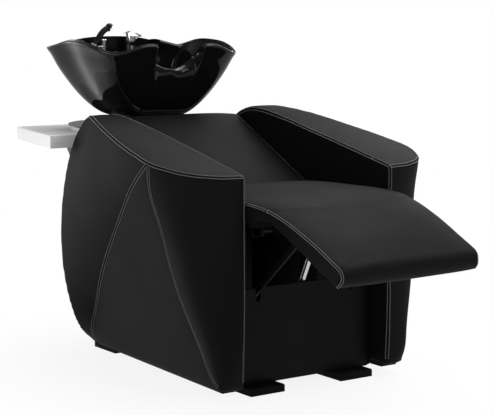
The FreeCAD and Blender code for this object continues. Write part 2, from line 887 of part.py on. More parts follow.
def actuator_lever(side):
    """A lever plate on the hinge shaft, beside the rod's eye."""
    inner = side * (actuator_eye_width / 2 + lever_gap)
    outer = side * (actuator_eye_width / 2 + lever_gap + lever_thickness)
    low, high = sorted((inner, outer))
    lever = link(
        (leg_hinge_back, leg_hinge_height), (actuator_pin_back, actuator_pin_height), lever_radius, low,
        high)
    return lever.cut(cross_pin(
        low - overrun, high + overrun, actuator_pin_back, actuator_pin_height, actuator_pin_radius))


def legrest_frame():
    reach = seat_rail_centre - seat_rail_size / 2
    members = [cross_pin(-reach, reach, leg_hinge_back, leg_hinge_height, leg_shaft_radius)]
    for side in (-1, 1):
        members.append(legrest_bar(side * leg_bar_centre))
        members.append(actuator_lever(side))
    tie_end = leg_bar_tip + leg_tie_width
    tie = [
        leg_board_point(leg_bar_tip, 0), leg_board_point(tie_end, 0),
        leg_board_point(tie_end, leg_tie_thickness), leg_board_point(leg_bar_tip, leg_tie_thickness)]
    members.append(side_profile(tie, -leg_bar_centre, leg_bar_centre))
    frame = members[0].fuse(members[1:])
    return frame.removeSplitter()


def hinge_bracket():
    """A plate on the seat rail that carries the legrest shaft in a plain bore."""
    outer = seat_rail_centre - seat_rail_size / 2
    low = outer - hinge_plate_thickness
    outline = [
        (seat_rail_front, seat_rail_bottom), (seat_rail_front + hinge_plate_reach, seat_rail_bottom),
        (seat_rail_front + hinge_plate_reach - hinge_plate_rise, seat_board_bottom),
        (seat_rail_front, seat_board_bottom)]
    plate = side_profile(outline, low, outer)
    bore = cross_pin(
        low - overrun, outer + overrun, leg_hinge_back, leg_hinge_height, leg_shaft_radius + running_gap)
    return plate.cut([bore] + bracket_bolt_bores())


def bracket_bolt_bores():
    """The bracket's bolt holes, through the bracket and the wall of the right seat rail."""
    outer = seat_rail_centre - seat_rail_size / 2
    return [
        cross_pin(outer - overrun, outer + tube_wall, back, seat_rail_bottom + rise, bracket_bolt_radius)
        for back, rise in bracket_bolt_places]


def bracket_bolts():
    outer = seat_rail_centre - seat_rail_size / 2
    seat = outer - hinge_plate_thickness
    bolts = []
    for back, rise in bracket_bolt_places:
        height = seat_rail_bottom + rise
        head = cross_pin(seat - bracket_bolt_head_height, seat, back, height, bracket_bolt_head_radius)
        shank = cross_pin(seat, outer + tube_wall, back, height, bracket_bolt_radius)
        bolts.append(head.fuse(shank))
    return Part.makeCompound(bolts + [mirrored(bolt) for bolt in bolts])


def stay_arm(side):
    low = side * slot_centre - stay_thickness / 2
    start = (stay_pivot_back, stay_pivot_height)
    end = (
        stay_pivot_back + stay_direction.y * stay_length,
        stay_pivot_height + stay_direction.z * stay_length)
    arm_bar = link(start, end, stay_width / 2, low, low + stay_thickness)
    return arm_bar.cut(cross_pin(
        low - overrun, low + stay_thickness + overrun, start[0], start[1], stay_shaft_radius))


def stay_shaft():
    reach = slot_centre + stay_thickness / 2
    shaft = cross_pin(-reach, reach, stay_pivot_back, stay_pivot_height, stay_shaft_radius)
    collars = []
    for side in (-1, 1):
        inner = leg_bar_centre + leg_bar_thickness / 2 + seat_gap
        low, high = sorted((side * inner, side * (inner + stay_collar_width)))
        collars.append(cross_pin(low, high, stay_pivot_back, stay_pivot_height, stay_collar_radius))
    return shaft.fuse(collars)


def actuator_line():
    """Unit vector from the lower anchor to the rod's eye, and the length between them."""
    run = V(
        0, actuator_pin_back - actuator_anchor_back, actuator_pin_height - actuator_anchor_height)
    return run.normalize(), math.hypot(
        actuator_pin_back - actuator_anchor_back, actuator_pin_height - actuator_anchor_height)


def actuator_tube():
    direction, _ = actuator_line()
    anchor = V(0, actuator_anchor_back, actuator_anchor_height)
    start = anchor + direction * actuator_tube_start
    tube = disc(start, actuator_tube_radius, actuator_tube_length, direction)
    half = actuator_eye_width / 2
    eye = link((anchor.y, anchor.z), (start.y, start.z), actuator_tube_radius, -half, half)
    bore = disc(
        anchor + direction * actuator_bore_foot, actuator_rod_radius + running_gap, actuator_tube_length,
        direction)
    pin_bore = cross_pin(-half - overrun, half + overrun, anchor.y, anchor.z, actuator_pin_radius)
    return tube.fuse(eye).cut([bore, pin_bore])


def actuator_collar():
    direction, _ = actuator_line()
    anchor = V(0, actuator_anchor_back, actuator_anchor_height)
    start = anchor + direction * (actuator_tube_start + actuator_tube_length)
    ring = disc(start, actuator_collar_radius, actuator_collar_length, direction)
    nose = disc(
        start + direction * actuator_collar_length, actuator_nose_radius, actuator_nose_length, direction)
    bore = disc(start - direction * overrun, actuator_rod_radius + running_gap, 3 * overrun, direction)
    return ring.fuse(nose).cut(bore)


def actuator_motor():
    """The motor beside the tube's foot, in its gearbox housing."""
    direction, _ = actuator_line()
    anchor = V(0, actuator_anchor_back, actuator_anchor_height)
    start = anchor + direction * (actuator_tube_start + actuator_tube_radius)
    side = AXIS_X * actuator_motor_offset
    barrel = disc(start + side, actuator_motor_radius, actuator_motor_length, direction)
    gear = disc(start + side, actuator_motor_radius, actuator_gearbox_height, direction)
    collar = disc(start, actuator_motor_radius, actuator_gearbox_height, direction)
    across = AXIS_X.cross(direction) * actuator_motor_radius
    corners = [start + across, start + side + across, start + side - across, start - across]
    web = Part.Face(Part.makePolygon(corners + corners[:1])).extrude(direction * actuator_gearbox_height)
    passage = disc(
        start - direction * overrun, actuator_tube_radius, actuator_gearbox_height + 2 * overrun, direction)
    return barrel.fuse([gear, collar, web]).cut(passage).removeSplitter()


def actuator_anchor():
    """A clevis on the front cross tube."""
    gap = actuator_eye_width / 2 + seat_gap
    base_low = cross_top
    plates = []
    for side in (-1, 1):
        low, high = sorted((side * gap, side * (gap + anchor_plate_thickness)))
        plate = box(
            low, high, actuator_anchor_back - anchor_plate_width / 2,
            actuator_anchor_back + anchor_plate_width / 2, base_low, actuator_anchor_height)
        end = cross_pin(low, high, actuator_anchor_back, actuator_anchor_height, anchor_plate_width / 2)
        plates.append(plate.fuse(end))
    base = box(
        -gap - anchor_plate_thickness, gap + anchor_plate_thickness,
        actuator_anchor_back - anchor_plate_width / 2, actuator_anchor_back + anchor_plate_width / 2,
        base_low, base_low + anchor_plate_thickness)
    bore = cross_pin(
        -gap - overrun, gap + overrun, actuator_anchor_back, actuator_anchor_height, actuator_pin_radius)
    return base.fuse(plates).cut(bore).removeSplitter()


def actuator_anchor_pin():
    reach = actuator_eye_width / 2 + seat_gap + anchor_plate_thickness
    return cross_pin(-reach, reach, actuator_anchor_back, actuator_anchor_height, actuator_pin_radius)


def actuator_lever_pin():
    reach = actuator_eye_width / 2 + lever_gap + lever_thickness
    return cross_pin(-reach, reach, actuator_pin_back, actuator_pin_height, actuator_pin_radius)


def actuator_rod():
    """The extending tube, with a slotted eye that lets the lever's pin swing."""
    direction, length = actuator_line()
    anchor = V(0, actuator_anchor_back, actuator_anchor_height)
    top = anchor + direction * length
    away = AXIS_X.cross(direction)
    if away.y > 0:
        away = away * -1
    neck_start = length - actuator_neck_length
    rod = disc(
        anchor + direction * actuator_rod_foot, actuator_rod_radius, neck_start - actuator_rod_foot,
        direction)
    neck = disc(anchor + direction * neck_start, actuator_neck_radius, actuator_neck_length, direction)
    half = actuator_eye_width / 2
    far = top + away * actuator_slot_run
    eye = link((top.y, top.z), (far.y, far.z), actuator_eye_radius, -half, half)
    slot = link(
        (top.y, top.z), (far.y, far.z), actuator_pin_radius + linkage_gap, -half - overrun, half + overrun)
    return rod.fuse([neck, eye]).cut(slot).removeSplitter()


def rear_outline(half_width, front, depth, taper, corner, height):
    """A plan outline that narrows to the back, with cut corners joined by arcs."""
    rear = front + depth
    waist = half_width * taper
    bend = depth * corner
    side_end = V(waist + (half_width - waist) * corner, rear - bend, height)
    corner_middle = V(waist * (1 - corner / 4), rear - bend * corner, height)
    rear_end = V(waist * (1 - corner), rear, height)
    start = V(half_width, front, height)

    def flip(point):
        return V(-point.x, point.y, point.z)

    return Part.Wire([
        line(start, side_end),
        arc(side_end, corner_middle, rear_end),
        line(rear_end, flip(rear_end)),
        arc(flip(rear_end), flip(corner_middle), flip(side_end)),
        line(flip(side_end), flip(start)),
        line(flip(start), start)])


def shroud_solid(wall, lower, upper):
    sections = [
        (shroud_bottom_half_width, shroud_bottom_depth, shroud_bottom - lower),
        (shroud_knee_half_width, shroud_knee_depth, shroud_knee_height),
        (shroud_top_half_width, shroud_top_depth, shroud_top + upper)]
    wires = []
    for half_width, depth, height in sections:
        wires.append(rear_outline(
            half_width - wall, shroud_front + wall, depth - 2 * wall, shroud_taper_share,
            shroud_corner_share, height))
    return Part.makeLoft(wires, True, True)


def rear_shroud():
    """A tapering sheet skirt, hung by a flange that lies under the shelf."""
    skin = shroud_solid(0, 0, 0).cut(shroud_solid(shroud_wall, seat_gap, -shroud_wall))
    mouth = Part.Face(rear_outline(
        shroud_top_half_width - shroud_flange, shroud_front + shroud_flange,
        shroud_top_depth - 2 * shroud_flange, shroud_taper_share, shroud_corner_share,
        shroud_top - overrun))
    return skin.cut(mouth.extrude(V(0, 0, 2 * overrun)))


def rear_post():
    """The post, with two arms that carry the shelf."""
    half = post_size / 2
    post = tube_box(-half, half, post_back - half, post_back + half, frame_top, post_top, "z")
    arms = []
    for side in (-1, 1):
        low, high = sorted((side * half, side * post_arm_reach))
        arms.append(tube_box(
            low, high, post_back - post_arm_size / 2, post_back + post_arm_size / 2,
            shroud_top - post_arm_size, shroud_top, "x"))
    return post.fuse(arms).removeSplitter()


def rear_opening(low, high):
    return box(-opening_half_width, opening_half_width, opening_front, opening_rear, low, high)


def shelf():
    """A slab with a low plinth on it, around the opening for the post."""
    low = shroud_top
    points = [
        (-shelf_front_half_width, shelf_front), (shelf_front_half_width, shelf_front),
        (shelf_rear_half_width, shelf_front + shelf_depth),
        (-shelf_rear_half_width, shelf_front + shelf_depth)]
    slab = plan_profile(points, low, low + shelf_thickness)
    slab = slab.makeFillet(shelf_edge_radius, slab.Edges)
    plinth_wire = rear_outline(
        cover_half_width - cover_inset, cover_front + cover_inset, cover_depth - 2 * cover_inset,
        cover_taper_share, cover_corner_share, low + shelf_thickness / 2)
    plinth = Part.Face(plinth_wire).extrude(V(0, 0, shelf_thickness / 2 + cover_riser))
    opening = rear_opening(low - overrun, low + shelf_thickness + cover_riser + overrun)
    return slab.fuse(plinth).cut(opening).removeSplitter()


def cover_plate():
    """A thin gloss plate on the shelf's plinth, which is set in from the plate's edge."""
    low = shroud_top + shelf_thickness + cover_riser
    plate_wire = rear_outline(
        cover_half_width, cover_front, cover_depth, cover_taper_share, cover_corner_share, low)
    plate = Part.Face(plate_wire).extrude(V(0, 0, cover_thickness))
    return plate.cut(rear_opening(low - overrun, low + cover_thickness + overrun))


def rim_point(shares):
    reach = basin_front_reach if shares[1] < 0 else basin_rear_reach
    return V(
        shares[0] * basin_half_width, basin_centre_back + shares[1] * reach,
        basin_base_height + shares[2] * basin_rim_rise)


def base_point(shares):
    reach = basin_base_front_reach if shares[1] < 0 else basin_base_rear_reach
    return V(shares[0] * basin_base_half_width, basin_centre_back + shares[1] * reach, basin_base_height)


def full_rim():
    """Rim points with the neck notch filled in."""
    filled = [rim_point(shares) for shares in full_rim_shares]
    return filled + [rim_point(shares) for shares in rim_shares[len(full_rim_shares):]]


def bowl_ring(depth_share, inset, raise_by):
    """Right half of a ring, from the rim (0) down to the base (1), set in and raised for the inside."""
    points = []
    full = full_rim()
    for index, shares in enumerate(rim_shares):
        notch_share = (1.0 - depth_share) ** 4
        top = full[index] + (rim_point(shares) - full[index]) * notch_share
        base = base_point(base_ring_shares[index])
        plan = top + (base - top) * depth_share
        hollow = (1.0 - depth_share) ** basin_hollow_power
        height = basin_base_height + (top.z - basin_base_height) * hollow + raise_by
        centre = V(0, basin_centre_back, 0)
        inward = V(centre.x - plan.x, centre.y - plan.y, 0).normalize() * inset
        point = V(plan.x + inward.x, plan.y + inward.y, height)
        points.append(point)
    return points


def held_to_deck(points):
    """The inside of the bowl stops at the front of the tap deck."""
    return [V(point.x, min(point.y, basin_deck_front), point.z) for point in points]


def ring_wire(points):
    """A closed smooth ring from its right half."""
    left = [V(-point.x, point.y, point.z) for point in reversed(points[1:-1])]
    curve = Part.BSplineCurve()
    curve.interpolate(points + left, True)
    return Part.Wire([curve.toShape()])


def basin_body():
    """One skin up the outside, over the rim and down the inside, closed by two flat bottoms."""
    rings = [bowl_ring(share, 0, 0) for share in outer_ring_shares]
    rings.append(bowl_ring(0, basin_lip / 2, -basin_lip / 4))
    rings.append(bowl_ring(0, basin_wall / 2, 0))
    rings.append(held_to_deck(bowl_ring(0, basin_wall - basin_lip / 2, -basin_lip / 4)))
    for share in inner_ring_shares:
        rings.append(held_to_deck(bowl_ring(share, basin_wall, 0)))
    floor = held_to_deck(bowl_ring(inner_ring_shares[-1], basin_wall, 0))
    level = basin_base_height + basin_floor
    rings[-1] = [V(point.x, point.y, level) for point in floor]
    return Part.makeLoft([ring_wire(points) for points in rings], True, False)


def basin():
    body = basin_body()
    deck_cut = box(
        -basin_deck_half_width, basin_deck_half_width, basin_deck_front - overrun, basin_deck_rear,
        basin_deck_height, basin_base_height + basin_rim_rise + overrun)
    pocket = box(
        -basin_pocket_half_width, basin_pocket_half_width, basin_pocket_front, basin_pocket_rear,
        basin_base_height - overrun, basin_deck_height - basin_deck_thickness)
    cuts = [deck_cut, pocket]
    cuts.append(disc(
        V(0, basin_drain_back, basin_base_height - overrun), basin_drain_radius,
        basin_floor + 2 * overrun, AXIS_Z))
    for across, back, radius in (
            (tap_half_spacing, tap_back, tap_hole_radius),
            (-holder_across, holder_back, holder_hole_radius)):
        cuts.append(disc(
            V(across, back, basin_deck_height - basin_deck_thickness - overrun), radius,
            basin_deck_thickness + 2 * overrun, AXIS_Z))
    return body.cut(cuts)


def basin_saddle():
    """A steel plate under the basin with two ears on the tilt pin."""
    top = basin_base_height - seat_gap
    low = top - saddle_thickness
    plate = box(
        -saddle_half_width, saddle_half_width, tilt_back - saddle_half_depth, tilt_back + saddle_half_depth,
        low, top)
    parts = []
    for side in (-1, 1):
        x_low, x_high = sorted((
            side * saddle_ear_half_gap, side * (saddle_ear_half_gap + saddle_ear_thickness)))
        ear = box(
            x_low, x_high, tilt_back - saddle_ear_radius, tilt_back + saddle_ear_radius, tilt_height, low)
        parts.append(ear)
        parts.append(cross_pin(x_low, x_high, tilt_back, tilt_height, saddle_ear_radius))
    reach = saddle_ear_half_gap + overrun
    bore = cross_pin(-reach, reach, tilt_back, tilt_height, tilt_pin_radius + running_gap)
    return plate.fuse(parts).cut(bore).removeSplitter()


def tilt_cradle():
    """The fork on top of the post."""
    half = post_size / 2
    outer = saddle_ear_half_gap - seat_gap
    base = box(-outer, outer, post_back - half, post_back + half, post_top, post_top + cradle_plate)
    parts = []
    for side in (-1, 1):
        x_low, x_high = sorted((side * (outer - cradle_thickness), side * outer))
        parts.append(box(
            x_low, x_high, tilt_back - saddle_ear_radius, tilt_back + saddle_ear_radius, post_top,
            tilt_height))
        parts.append(cross_pin(x_low, x_high, tilt_back, tilt_height, saddle_ear_radius))
    bore = cross_pin(-outer - overrun, outer + overrun, tilt_back, tilt_height, tilt_pin_radius)
    return base.fuse(parts).cut(bore).removeSplitter()


def tilt_pin():
    reach = saddle_ear_half_gap + saddle_ear_thickness + seat_gap
    pin = cross_pin(-reach, reach, tilt_back, tilt_height, tilt_pin_radius)
    heads = [
        cross_pin(reach, reach + pin_head_length, tilt_back, tilt_height, pin_head_radius),
        cross_pin(-reach - pin_head_length, -reach, tilt_back, tilt_height, pin_head_radius)]
    return pin.fuse(heads)


def waste_flange():
    """The strainer in the basin's floor."""
    level = basin_base_height + basin_floor
    flange = disc(V(0, basin_drain_back, level), waste_flange_radius, waste_flange_height, AXIS_Z)
    neck = disc(
        V(0, basin_drain_back, level - basin_floor / 2), basin_drain_radius, basin_floor / 2, AXIS_Z)
    strainer = flange.fuse(neck)
    rim = [edge for edge in strainer.Edges if edge.BoundBox.ZMin > level + waste_flange_height / 2]
    strainer = strainer.makeFillet(waste_flange_height / 2, rim)
    for index in range(waste_slot_count):
        angle = 2 * math.pi * index / waste_slot_count
        centre = V(
            waste_slot_circle * math.cos(angle), basin_drain_back + waste_slot_circle * math.sin(angle),
            level - basin_floor)
        strainer = strainer.cut(disc(
            centre, waste_slot_radius, basin_floor + 2 * waste_flange_height, AXIS_Z))
    return strainer


def waste_tail():
    """The outlet under the basin, open for a hose, with a spigot below and its nut above."""
    top = basin_base_height + basin_floor / 2
    end = top - waste_tail_length
    outer = disc(
        V(0, basin_drain_back, end + waste_spigot_length), waste_tail_radius,
        waste_tail_length - waste_spigot_length, AXIS_Z)
    spigot = disc(V(0, basin_drain_back, end), waste_spigot_radius, waste_spigot_length, AXIS_Z)
    inner = disc(
        V(0, basin_drain_back, end - overrun), waste_spigot_radius - waste_tail_wall,
        waste_tail_length + 2 * overrun, AXIS_Z)
    nut_centre = V(0, basin_drain_back, basin_base_height - waste_nut_height)
    corners = []
    for index in range(7):
        angle = math.pi * index / 3
        corner = V(waste_nut_radius * math.cos(angle), waste_nut_radius * math.sin(angle), 0)
        corners.append(nut_centre + corner)
    nut = Part.Face(Part.makePolygon(corners)).extrude(V(0, 0, waste_nut_height))
    return outer.fuse([spigot, nut]).cut(inner).removeSplitter()


def revolved(points, across, back):
    """A turned piece: outline points are (radius, height)."""
    corners = [V(radius, 0, height) for radius, height in points]
    face = Part.Face(Part.makePolygon(corners + corners[:1]))
    solid = face.revolve(V(0, 0, 0), AXIS_Z, 360)
    solid.translate(V(across, back, 0))
    return solid


def mixer_body():
    """A turned column with a shank through the deck."""
    base = deck_top
    shoulder = base + mixer_flange_height
    top = base + mixer_body_height
    profile = [
        (0, base - mixer_shank_length), (mixer_shank_radius, base - mixer_shank_length),
        (mixer_shank_radius, base), (mixer_flange_radius, base),
        (mixer_flange_radius, base + mixer_flange_height / 2), (mixer_waist_radius, shoulder),
        (mixer_waist_radius, (shoulder + top) / 2), (mixer_body_radius, top - mixer_flange_height),
        (mixer_body_radius, top), (mixer_spindle_radius, top),
        (mixer_spindle_radius, top + mixer_spindle_height - mixer_cap_height),
        (0, top + mixer_spindle_height - mixer_cap_height)]
    body = revolved(profile, tap_half_spacing, tap_back)
    tails = []
    for side in (-1, 1):
        tails.append(disc(
            V(tap_half_spacing + side * tail_half_spacing, tap_back, base - mixer_shank_length - overrun),
            tail_radius, 2 * overrun, AXIS_Z))
    return body.cut(tails)


def inlet_tails():
    """The hot and cold supply tails below the deck, each with a ferrule at its end."""
    low = deck_top - mixer_shank_length + overrun - tail_length
    solids = []
    for side in (-1, 1):
        end = V(tap_half_spacing + side * tail_half_spacing, tap_back, low)
        tail = disc(end, tail_radius, tail_length, AXIS_Z)
        ferrule = disc(end, tail_ferrule_radius, tail_ferrule_length, AXIS_Z)
        solids.append(tail.fuse(ferrule))
    return Part.makeCompound(solids)


def mixer_cap():
    """The turning collar under the lever, with an ear for the lever's pivot."""
    top = deck_top + mixer_body_height
    ring = revolved([
        (mixer_spindle_radius + running_gap, top + seat_gap), (mixer_cap_radius, top + seat_gap),
        (mixer_cap_radius, top + mixer_cap_height),
        (mixer_spindle_radius + running_gap, top + mixer_cap_height)], tap_half_spacing, tap_back)
    half = lever_tip_half_width
    back = lever_pivot_back()
    height = lever_pivot_height()
    ear = box(
        tap_half_spacing - half, tap_half_spacing + half, back - lever_pivot_rise, back + lever_pivot_rise,
        top + mixer_cap_height, height)
    knuckle = cross_pin(tap_half_spacing - half, tap_half_spacing + half, back, height, lever_pivot_rise)
    bore = cross_pin(
        tap_half_spacing - half - overrun, tap_half_spacing + half + overrun, back, height,
        lever_pivot_radius + running_gap)
    return ring.fuse([ear, knuckle]).cut(bore).removeSplitter()


def lever_pivot_back():
    return tap_back + (mixer_spindle_radius + mixer_cap_radius - lever_pivot_radius) / 2


def lever_pivot_height():
    return deck_top + mixer_body_height + mixer_cap_height + lever_pivot_rise


def mixer_lever():
    """A domed handle drawn out to a flat tip over the basin."""
    low = deck_top + mixer_body_height + mixer_cap_height + seat_gap
    middle = low + lever_dome_height - lever_crown_height
    top = low + lever_dome_height
    crown_radius = (lever_dome_radius ** 2 + lever_crown_height ** 2) / (2 * lever_crown_height)
    crown_turn = math.asin(lever_dome_radius / crown_radius) / 2
    centre = V(tap_half_spacing, tap_back, 0)
    dome_profile = [
        V(0, 0, low), V(lever_dome_radius, 0, low), V(lever_dome_radius, 0, middle)]
    crown = arc(
        V(lever_dome_radius, 0, middle),
        V(crown_radius * math.sin(crown_turn), 0, top - crown_radius * (1 - math.cos(crown_turn))),
        V(0, 0, top))
    edges = [
        line(dome_profile[0], dome_profile[1]), line(dome_profile[1], dome_profile[2]), crown,
        line(V(0, 0, top), dome_profile[0])]
    dome = Part.Face(Part.Wire(edges)).revolve(V(0, 0, 0), AXIS_Z, 360)
    dome.translate(centre)
    tip_back = tap_back - lever_reach
    root_half = lever_dome_radius * 0.7
    wires = []
    for back, half, z_low, z_high in (
            (tap_back, root_half, low, middle + lever_dome_height / 4),
            (tip_back, lever_tip_half_width, low, low + lever_tip_thickness)):
        corners = [
            V(tap_half_spacing - half, back, z_low), V(tap_half_spacing + half, back, z_low),
            V(tap_half_spacing + half, back, z_high), V(tap_half_spacing - half, back, z_high)]
        wires.append(Part.makePolygon(corners + corners[:1]))
    tongue = Part.makeLoft(wires, True, True)
    handle = dome.fuse(tongue).removeSplitter()
    half = lever_tip_half_width + seat_gap
    back = lever_pivot_back()
    slot = box(
        tap_half_spacing - half, tap_half_spacing + half, tap_back, tap_back + lever_dome_radius + overrun,
        low - overrun, lever_pivot_height() + lever_pivot_rise + seat_gap)
    heel_rise = lever_dome_radius * math.tan(math.radians(lever_lift))
    heel = side_profile(
        [(back, low - overrun), (back + lever_dome_radius, low - overrun),
         (back + lever_dome_radius, low + heel_rise), (back, low)],
        tap_half_spacing - lever_dome_radius - overrun, tap_half_spacing + lever_dome_radius + overrun)
    handle = handle.cut(slot).cut(heel)
    pin = cross_pin(
        tap_half_spacing - half - seat_gap, tap_half_spacing + half + seat_gap, back,
        lever_pivot_height(), lever_pivot_radius)
    return handle.fuse(pin)


def shower_foot():
    """The lower end of the hand shower's centre line."""
    return V(-shower_foot_across, shower_back, deck_top + shower_foot_rise)


def shower_holder():
    """A turned post on the deck with a tilted ring beside it, in which the hand shower leans."""
    base = deck_top
    top = base + holder_height
    profile = [
        (0, base - mixer_shank_length), (holder_shank_radius, base - mixer_shank_length),
        (holder_shank_radius, base), (holder_foot_radius, base),
        (holder_foot_radius, base + holder_foot_height),
        (holder_radius, base + holder_foot_height + holder_edge), (holder_radius, top - holder_edge),
        (holder_radius - holder_edge, top), (0, top)]
    post = revolved(profile, -holder_across, holder_back)
    foot_end = shower_foot()
    clip_centre = foot_end + shower_direction * (clip_rise / shower_direction.z)
    ring = disc(
        clip_centre - shower_direction * (clip_length / 2), clip_radius, clip_length, shower_direction)
    run = V(-holder_across, holder_back, clip_centre.z) - clip_centre
    bar = disc(clip_centre, clip_bar_radius, run.Length, run)
    bore = disc(
        foot_end - shower_direction * overrun, shower_grip_radius + running_gap,
        shower_grip_length + overrun, shower_direction)
    return post.fuse([ring, bar]).cut(bore).removeSplitter()


def shower_bend_point(turn):
    """A point of the bend that carries on from the grip, after so many degrees of its turn."""
    start = shower_foot() + shower_direction * shower_grip_length
    inward = V(shower_direction.z, 0, -shower_direction.x)
    angle = math.radians(turn)
    return start + (
        shower_direction * math.sin(angle) + inward * (1 - math.cos(angle))) * shower_bend_radius


def shower_handle():
    """A straight grip that bends over to the round head."""
    start = shower_bend_point(0)
    head = shower_bend_point(shower_bend_turn)
    grip = disc(shower_foot(), shower_grip_radius, shower_grip_length, shower_direction)
    path = Part.Wire([arc(start, shower_bend_point(shower_bend_turn / 2), head)])
    ring = Part.Wire([Part.Circle(start, shower_direction, shower_grip_radius).toShape()])
    neck = path.makePipeShell([ring], True, True)
    ball = Part.makeSphere(shower_head_radius, head)
    direction = shower_face_direction()
    trim_base = head + direction * (shower_head_radius / 2)
    trim = disc(trim_base, 2 * shower_head_radius, 2 * shower_head_radius, direction)
    return grip.fuse(neck).fuse(ball).cut(trim)


def shower_face_direction():
    level = math.cos(math.radians(shower_face_tilt))
    turn = math.radians(shower_face_turn)
    return V(level * math.sin(turn), -level * math.cos(turn), -math.sin(math.radians(shower_face_tilt)))


def shower_face():
    head = shower_bend_point(shower_bend_turn)
    direction = shower_face_direction()
    return disc(
        head + direction * (shower_head_radius / 2), shower_face_radius, shower_face_height, direction)


def both(name, shape):
    save(name + "_right", shape)
    save(name + "_left", mirrored(shape))


def main():
    os.makedirs("parts", exist_ok=True)
    save("base_frame", base_frame())
    both("foot_front", foot(foot_front_start, foot_front_inner, foot_front_length))
    both("foot_rear", foot(foot_rear_start, foot_rear_inner, foot_rear_length))
    both("cheek_plate", drilled_cheek_plate())
    save("arm_bolts", arm_bolts())
    save("front_panel", front_panel())
    save("panel_screws", panel_screws())
    both("arm", arm())
    both("arm_base", arm_base())
    save("seat_frame", seat_frame())
    save("seat_board", seat_board())
    save("seat_cushion", cushion(seat_half_width, seat_outline))
    save("backrest_board", backrest_board())
    save("backrest_cushion", cushion(seat_half_width, back_outline))
    both("hinge_bracket", hinge_bracket())
    save("bracket_bolts", bracket_bolts())
    save("legrest_cushion", cushion(leg_half_width, leg_outline))
    save("legrest_board", legrest_board())
    save("legrest_frame", legrest_frame())
    save("stay_arm_right", stay_arm(1))
    save("stay_arm_left", stay_arm(-1))
    save("stay_shaft", stay_shaft())
    save("actuator_anchor", actuator_anchor())
    save("actuator_anchor_pin", actuator_anchor_pin())
    save("actuator_tube", actuator_tube())
    save("actuator_collar", actuator_collar())
    save("actuator_motor", actuator_motor())
    save("actuator_rod", actuator_rod())
    save("actuator_lever_pin", actuator_lever_pin())
    save("rear_post", rear_post())
    save("rear_shroud", rear_shroud())
    save("shelf", shelf())
    save("cover_plate", cover_plate())
    save("tilt_cradle", tilt_cradle())
    save("tilt_pin", tilt_pin())
    save("basin_saddle", basin_saddle())
    save("basin", basin())
    save("waste_flange", waste_flange())
    save("waste_tail", waste_tail())
    save("mixer_body", mixer_body())
    save("inlet_tails", inlet_tails())
    save("mixer_cap", mixer_cap())
    save("mixer_lever", mixer_lever())
    save("shower_holder", shower_holder())
    save("shower_handle", shower_handle())
    save("shower_face", shower_face())


main()
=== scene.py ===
import json
import math

import bmesh
import bpy
from bpy.props import FloatProperty, FloatVectorProperty, PointerProperty
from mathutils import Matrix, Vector, kdtree, noise
from mathutils.bvhtree import BVHTree


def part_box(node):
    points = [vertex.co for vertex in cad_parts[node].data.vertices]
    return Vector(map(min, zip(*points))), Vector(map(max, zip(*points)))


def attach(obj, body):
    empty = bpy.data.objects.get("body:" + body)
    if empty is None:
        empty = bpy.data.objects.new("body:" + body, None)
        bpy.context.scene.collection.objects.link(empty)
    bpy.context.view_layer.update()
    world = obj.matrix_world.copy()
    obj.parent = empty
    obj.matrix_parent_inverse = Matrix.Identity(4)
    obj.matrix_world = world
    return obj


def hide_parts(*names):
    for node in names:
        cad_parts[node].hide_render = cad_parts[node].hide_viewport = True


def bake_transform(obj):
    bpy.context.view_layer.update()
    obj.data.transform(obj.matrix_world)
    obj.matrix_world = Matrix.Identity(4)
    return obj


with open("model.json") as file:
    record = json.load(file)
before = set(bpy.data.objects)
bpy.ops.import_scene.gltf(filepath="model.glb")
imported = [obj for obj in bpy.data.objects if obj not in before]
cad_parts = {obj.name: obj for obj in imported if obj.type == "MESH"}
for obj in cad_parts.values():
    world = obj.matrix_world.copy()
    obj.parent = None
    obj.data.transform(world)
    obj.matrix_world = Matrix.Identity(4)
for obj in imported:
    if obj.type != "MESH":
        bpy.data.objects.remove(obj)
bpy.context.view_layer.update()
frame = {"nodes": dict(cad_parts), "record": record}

bl_info = {
    "name": "Hair washing bed dressing",
    "version": (1, 0, 0),
    "blender": (4, 5, 0),
    "location": "3D View > Sidebar > Wash Bed",
    "description": "Upholstery, glaze, chrome and studio for a hair washing bed",
    "category": "Object",
}

NODES = frame["nodes"]
BODY_OF = {node: body for body, nodes in frame["record"]["behaviour"]["bodies"].items() for node in nodes}

# The arms in metres.
ARM_FRONT_Y = -0.460
ARM_INNER = 0.260
ARM_LENGTH = 0.830

# Seams of the right arm in millimetres, Y from the front of the arms; the left arm mirrors them.
TOP_SEAM = (
    (262, 8), (320, 12), (376, 29), (427, 57), (462, 98), (475, 150), (475, 200), (465, 269), (451, 305),
    (433, 385), (408, 520), (390, 600), (372, 680), (352, 740), (330, 790), (312, 832))
MIDDLE_SEAM_FRONT = (
    (474, 164, 660), (453, 182, 575), (429, 166, 472), (405, 154, 368), (382, 131, 265), (361, 98, 170),
    (343, 60, 89), (334, 27, 45))
MIDDLE_SEAM_REAR = (
    (474, 178, 660), (447, 308, 574), (413, 444, 457), (379, 568, 342), (348, 673, 230), (319, 754, 126),
    (300, 790, 50))
INNER_SEAM_ALONG = (3, 120, 260, 400, 540, 680, 760, 806, 832)
INNER_SEAM_INSET = 1.5
FRONT_SEAM_HEIGHTS = (600, 500, 380, 260, 140, 50)
FRONT_SEAM_INSET = 1
TUCK_ALONG = 83
TUCK_HEIGHT = 655

# The arm's roof in millimetres: its middle line, and the stretch of it that is level enough to search from.
ROOF_MIDDLE = 300.0
ROOF_FRONT = 130.0
ROOF_REAR = 780.0

# Normals of the roof: most sideways and least upwards before the roof counts as the side.
ROOF_TILT = 0.3
ROOF_LEVEL = 0.6

# How the arms' covers are stuffed between their seams, in metres.
ARM_STUFFING = {"height": 0.0022, "reach": 0.045, "dip": 0.0012, "dip_reach": 0.010}

